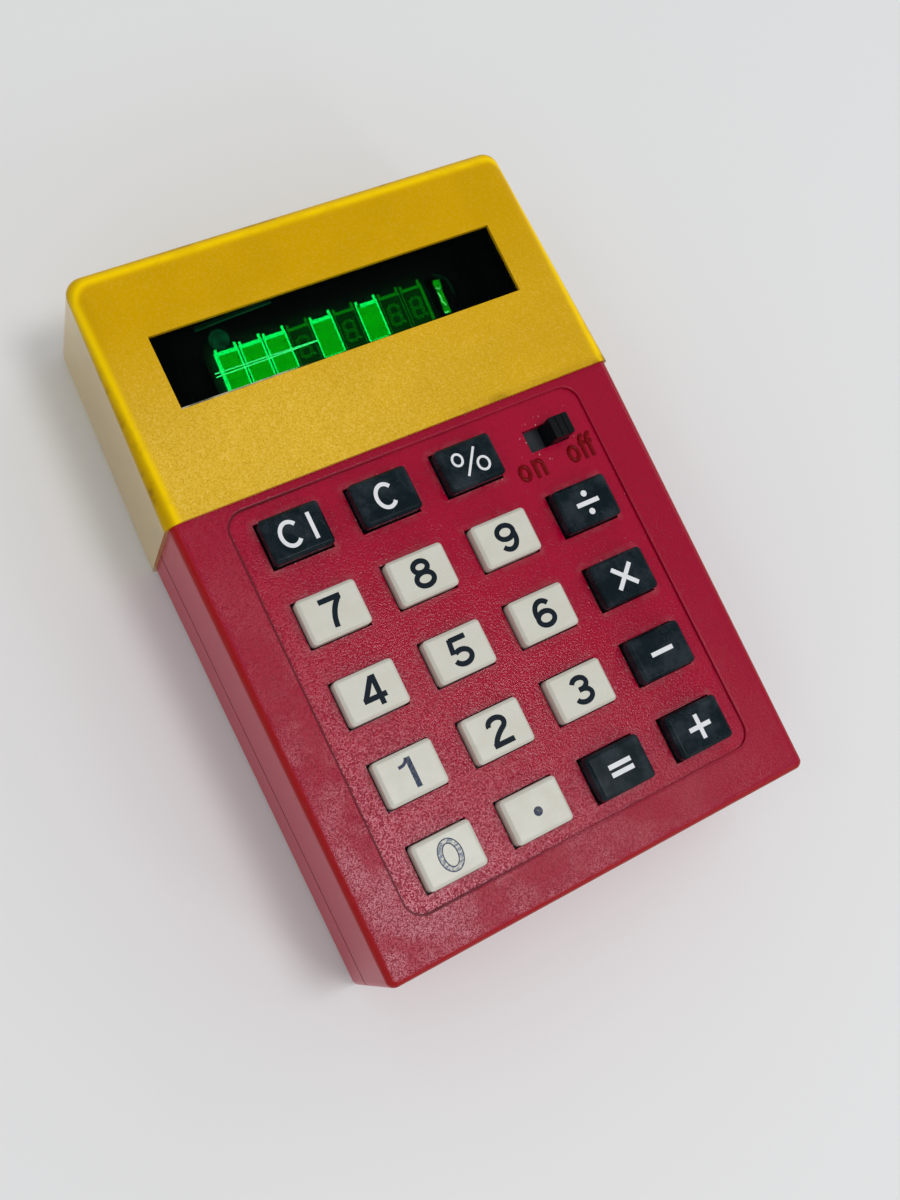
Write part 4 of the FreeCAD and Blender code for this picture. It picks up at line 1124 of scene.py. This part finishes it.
class CALCULATOR_OT_display(bpy.types.Operator):
    """Light the tube: glowing grids, painted glow on the unlit figures, painted heater reflections and
    painted glow on the getter
    """

    bl_idname = "calculator.display"
    bl_label = "Light the display"

    def execute(self, context):
        finish = context.scene.calculator_display
        glow = finish.glow
        edges, nets, plates, unlit, grounds = (bmesh.new() for _ in range(5))
        figures = []
        for digit in range(DIGIT_COUNT):
            centre = FIRST_DIGIT + digit * DIGIT_PITCH
            left, right = centre - GRID_HALF, centre + GRID_HALF
            lit = digit in LIT
            into = edges if lit else unlit
            left_width = 0.62 if digit == 0 else 0.26 if lit else 0.1
            right_width = 0.5 if digit == DIGIT_COUNT - 1 else 0.3 if lit else 0.12
            for x, foot, rise, width in (
                (left, GRID_FOOT, GRID_TOP - GRID_FOOT, left_width),
                (right, GRID_FOOT, GRID_TOP - GRID_FOOT, right_width),
                (left + 0.15 * MM, GRID_TOP, 0.55 * MM, 0.4),
                (right - 0.15 * MM, GRID_TOP, 0.8 * MM, 0.42),
            ):
                flat_bar(into, leaned(x, foot), leaned(x, foot + rise), width * MM, FOIL)
            # The grid of the seventh digit has a gap in its top bar
            top_left = left + (0.7 * MM if digit == 6 else 0)
            top_y = GRID_TOP - 0.3 * MM
            flat_bar(into, leaned(top_left, top_y), leaned(right, top_y), (0.62 if lit else 0.5) * MM, FOIL)
            behind = [leaned(centre, y, GRID_Z - PLATE_DROP) for y in (GRID_FOOT, GRID_TOP)]
            flat_bar(plates if lit else grounds, *behind, 3.4 * MM, FOIL)
            if not lit:
                figures += eight_outline(centre / MM, (GRID_FOOT + FIGURE_RISE) / MM)
                continue
            inside = (left + 0.1 * MM, right - 0.1 * MM, GRID_FOOT, GRID_TOP - 0.5 * MM)
            grid_mesh(nets, *inside, GRID_Z, finish)
            for bead in range(int(2 * GRID_HALF / finish.mesh_pitch)):
                place = leaned(left + (bead + 0.5) * finish.mesh_pitch, GRID_FOOT - 0.02 * MM)
                disc(edges, *place, finish.mesh_pitch * 0.36, FOIL, 6)
        bright = glowing("glow_bright", finish.bright, glow, 0.15)
        faint = glowing("glow_faint", finish.faint, glow, 0.4)
        finished(edges, "grid_edges_lit", "case", bright, ["tube_grids"])
        finished(nets, "grid_nets_lit", "case", glowing("glow_mesh", finish.medium, glow, 0.3))
        finished(plates, "digit_plates_lit", "case", glowing("glow_plate", finish.low, glow, 0.3))
        # Painted glow on the grids, figures and ground of the digits that aren't lit
        finished(unlit, "grid_edges_unlit", "case", faint)
        finished(grounds, "digit_plates_unlit", "case", glowing("glow_haze", finish.haze, glow, 0.5))
        mesh = strokes_mesh("figures_unlit", figures, (0, 0), GRID_Z - FIGURE_DROP, 0.18 * MM, 0.03 * MM)
        add_piece(mesh, "figures_unlit", "case", faint)
        # Painted reflections of the glow on the heater wires, the spring and the rim of the glass
        for name, strokes, lift, width, material, colour, uneven in (
            ("heater_reflections", HEATER_LINES, 0.3, 0.2, "glow_heater", srgb(60, 255, 130), 0.0),
            ("heater_spring_edges", SPRING_EDGES, 0.1, 0.24, "glow_spring_edge", srgb(84, 236, 112), 0.3),
            ("heater_spring_arc", [SPRING_ARC], 0.0, 0.3, "glow_arc", srgb(0, 42, 18), 0.6),
            ("glass_rim_glow", [RIM_LINE], 2.14, 0.22, "glow_rim", srgb(6, 62, 32), 0.7),
            ("glass_rim_haze", [RIM_HAZE], 2.12, 0.7, "glow_rim_haze", srgb(0, 24, 10), 0.8),
        ):
            mesh = strokes_mesh(name, strokes, (0, 0), GRID_Z + lift * MM, width * MM, 0.04 * MM)
            add_piece(mesh, name, "case", glowing(material, colour, glow, uneven))
        # Painted glow on the plates of the heater's spring
        spring = bmesh.new()
        for start, end, width in SPRING_PLATES:
            ends = [(x * MM, y * MM, GRID_Z) for x, y in (start, end)]
            flat_bar(spring, *ends, width * MM, FOIL)
        uneven_glow = glowing("glow_spring", finish.spring, glow, 0.5)
        finished(spring, "heater_spring_glow", "case", uneven_glow)
        clear = {"Base Color": srgb(10, 26, 22), "Roughness": 0.03, "Alpha": 0.06}
        coat_nodes({
            # Painted glow on the getter disc
            "getter": glowing("getter_painted_glow", finish.getter, glow, 0.9),
            # Painted green glow on the heater wires
            "filament_wires": plain("heater_wire_painted_glow", srgb(0, 120, 40), 0.4, Alpha=0.1),
            "filament_supports": plain("tube_metal", srgb(16, 22, 18), 0.5),
            "tube_leads": plain("lead_metal", srgb(150, 150, 146), 0.3, Metallic=1.0),
            "tube_holder": plain("tray_black", srgb(8, 8, 9), 0.7),
            "tube_base": tube_floor(finish),
            "tube_cover": recipe("clear_tube_glass", clear)[0],
        })
        return {"FINISHED"}


# Inside


def snap_domes(film):
    """The contact film, and on it the domes that the keys press flat."""
    film_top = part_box("dome_sheet")[0].z + FILM_THICKNESS
    bm = joined("dome_sheet")
    domes = [face for face in bm.faces if face.calc_center_median().z > film_top + NEAR]
    bmesh.ops.delete(bm, geom=domes, context="FACES")
    bmesh.ops.holes_fill(bm, edges=bm.edges)
    finished(bm, "contact_sheet", "case", film, ["dome_sheet"])
    for key in KEYS:
        x, y, _ = middle(key)
        bm = bmesh.new()
        bmesh.ops.create_uvsphere(bm, u_segments=24, v_segments=12, radius=DOME_RADIUS)
        bmesh.ops.scale(bm, vec=(1, 1, DOME_HEIGHT / DOME_RADIUS), verts=bm.verts)
        cut(bm, (0, 0, 0), UP, clear_inner=True)
        bmesh.ops.holes_fill(bm, edges=bm.edges)
        bmesh.ops.translate(bm, verts=bm.verts, vec=(x, y, film_top))
        dome = finished(bm, key + "_dome", "case", film)
        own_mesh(dome)


class CALCULATOR_OT_inside(bpy.types.Operator):
    """Give the board, its parts, the cells and the screws their materials"""

    bl_idname = "calculator.inside"
    bl_label = "Finish the inside"

    def execute(self, context):
        metal = {"Metallic": 1.0}
        jacket = plain("jacket_metal", srgb(120, 122, 126), 0.3, **metal)
        snap_domes(plain("clear_film", srgb(214, 208, 190), 0.25))
        coat_nodes({
            "main_board": plain("board_laminate", srgb(150, 120, 66), 0.55),
            "calculator_chip": plain("moulded_epoxy", srgb(24, 24, 26), 0.45),
            "converter_core": plain("ferrite", srgb(40, 38, 38), 0.5),
            "converter_winding": plain("enamelled_wire", srgb(150, 76, 34), 0.3, **metal),
            "capacitors": plain("sleeve_blue", srgb(24, 48, 118), 0.3),
            "resistors": plain("tan_lacquer", srgb(186, 152, 108), 0.4),
            "diodes": plain("amber_glass", srgb(176, 92, 40), 0.15),
            "transistors": plain("transistor_epoxy", srgb(22, 22, 24), 0.45),
            "battery_contacts": plain("spring_metal", srgb(190, 186, 176), 0.28, **metal),
            "case_screws": plain("screw_steel", srgb(170, 170, 168), 0.3, **metal),
            "cell_lower": jacket,
            "cell_upper": jacket,
        })
        return {"FINISHED"}


# Stage


# Half the side of the floor, in metres
FLOOR_HALF = 3


def stand(name, data, place, turn):
    """Puts a lamp or a camera in the scene."""
    made = new_object(name, data)
    made.location = place
    made.rotation_mode = "QUATERNION"
    made.rotation_quaternion = turn
    return made


def lamp(name, towards, distance, side, power):
    """A square soft lamp that looks at the calculator from a direction."""
    data = bpy.data.lights.new(name, "AREA")
    data.size = side
    data.energy = power
    place = Vector(towards).normalized() * distance
    stand(name, data, place, place.to_track_quat("Z", "Y"))


class CALCULATOR_OT_stage(bpy.types.Operator):
    """Set the calculator on a pale floor with soft lamps and the photograph's camera"""

    bl_idname = "calculator.stage"
    bl_label = "Set the stage"

    def execute(self, context):
        scene = context.scene
        finish = scene.calculator_stage
        bm = bmesh.new()
        bmesh.ops.create_grid(bm, x_segments=1, y_segments=1, size=FLOOR_HALF)
        mesh = bpy.data.meshes.new("floor")
        bm.to_mesh(mesh)
        bm.free()
        sockets = {"Base Color": finish.floor, "Roughness": 0.6, "Specular IOR Level": 0.2}
        material, nodes, shader = recipe("table_top", sockets)
        x, y, _ = nodes.split(nodes.object_place())
        fade = nodes.ramp(nodes.distance(x, y), finish.floor_fade, 2.5 * finish.floor_fade, 1.0, 0.0)
        above = nodes.rest(nodes.add("NewGeometry").outputs["Backfacing"])
        nodes.feed(shader, "Alpha", nodes.product(above, fade))
        coat(mesh, material)
        new_object("floor", mesh)
        world = bpy.data.worlds.new("room")
        world.use_nodes = True
        nodes = Nodes(world.node_tree)
        background = world.node_tree.nodes["Background"]
        rays = nodes.add("LightPath").outputs
        seen = nodes.math("MAXIMUM", rays["Is Glossy Ray"], rays["Is Transmission Ray"])
        seen = nodes.math("MAXIMUM", seen, rays["Is Camera Ray"])
        nodes.feed(background, "Color", (1, 1, 1))
        nodes.feed(background, "Strength", nodes.ramp(seen, 0, 1, finish.sky, finish.backdrop))
        scene.world = world
        lamp("window_lamp", (0.85, 0.3, 0.43), 1.4, 0.7, finish.window)
        lamp("ceiling_lamp", (0.285, -0.192, 1.279), 1.324, 0.34, finish.ceiling)
        lamp("fill_lamp", (-0.7, -0.5, 0.5), 0.7, 0.4, finish.fill)
        lamp("front_lamp", (0.36, -0.76, 0.56), 0.6, 0.12, finish.front)
        lamp("side_lamp", (-0.63, 0.1, 0.79), 0.6, 0.1, finish.side)
        data = bpy.data.cameras.new("camera")
        data.lens = finish.lens
        data.sensor_width = 36
        data.clip_start = 0.01
        place = Vector(finish.place)
        look = (Vector(finish.aim) - place).to_track_quat("-Z", "Y")
        scene.camera = stand("camera", data, place, look @ Quaternion(UP, finish.roll))
        scene.view_settings.view_transform = "Standard"
        return {"FINISHED"}


OPERATORS = (
    CALCULATOR_OT_shells,
    CALCULATOR_OT_cap,
    CALCULATOR_OT_keys,
    CALCULATOR_OT_legends,
    CALCULATOR_OT_switch,
    CALCULATOR_OT_window,
    CALCULATOR_OT_display,
    CALCULATOR_OT_inside,
    CALCULATOR_OT_stage,
)
SETTINGS = {
    "calculator_shells": ShellFinish,
    "calculator_keys": KeyFinish,
    "calculator_switch": SwitchFinish,
    "calculator_display": DisplayFinish,
    "calculator_stage": StageFinish,
}


class CALCULATOR_PT_finish(bpy.types.Panel):
    """Lists the steps and the values of the calculator's finish"""

    bl_idname = "CALCULATOR_PT_finish"
    bl_label = "Pocket calculator"
    bl_space_type = "VIEW_3D"
    bl_region_type = "UI"
    bl_category = "Calculator"

    def draw(self, context):
        for step in OPERATORS:
            self.layout.operator(step.bl_idname)
        for group in SETTINGS:
            values = getattr(context.scene, group)
            box = self.layout.box()
            for name in values.bl_rna.properties.keys():
                if name not in ("rna_type", "name"):
                    box.prop(values, name)


CLASSES = (*SETTINGS.values(), *OPERATORS, CALCULATOR_PT_finish)


def register():
    for cls in CLASSES:
        bpy.utils.register_class(cls)
    for name, group in SETTINGS.items():
        setattr(bpy.types.Scene, name, PointerProperty(type=group))


def unregister():
    for name in SETTINGS:
        delattr(bpy.types.Scene, name)
    for cls in reversed(CLASSES):
        bpy.utils.unregister_class(cls)


def main():
    register()
    bpy.ops.calculator.shells()
    bpy.ops.calculator.cap()
    bpy.ops.calculator.keys()
    bpy.ops.calculator.legends()
    bpy.ops.calculator.switch()
    bpy.ops.calculator.window()
    bpy.ops.calculator.display()
    bpy.ops.calculator.inside()
    bpy.ops.calculator.stage()


if __name__ == "__main__":
    main()
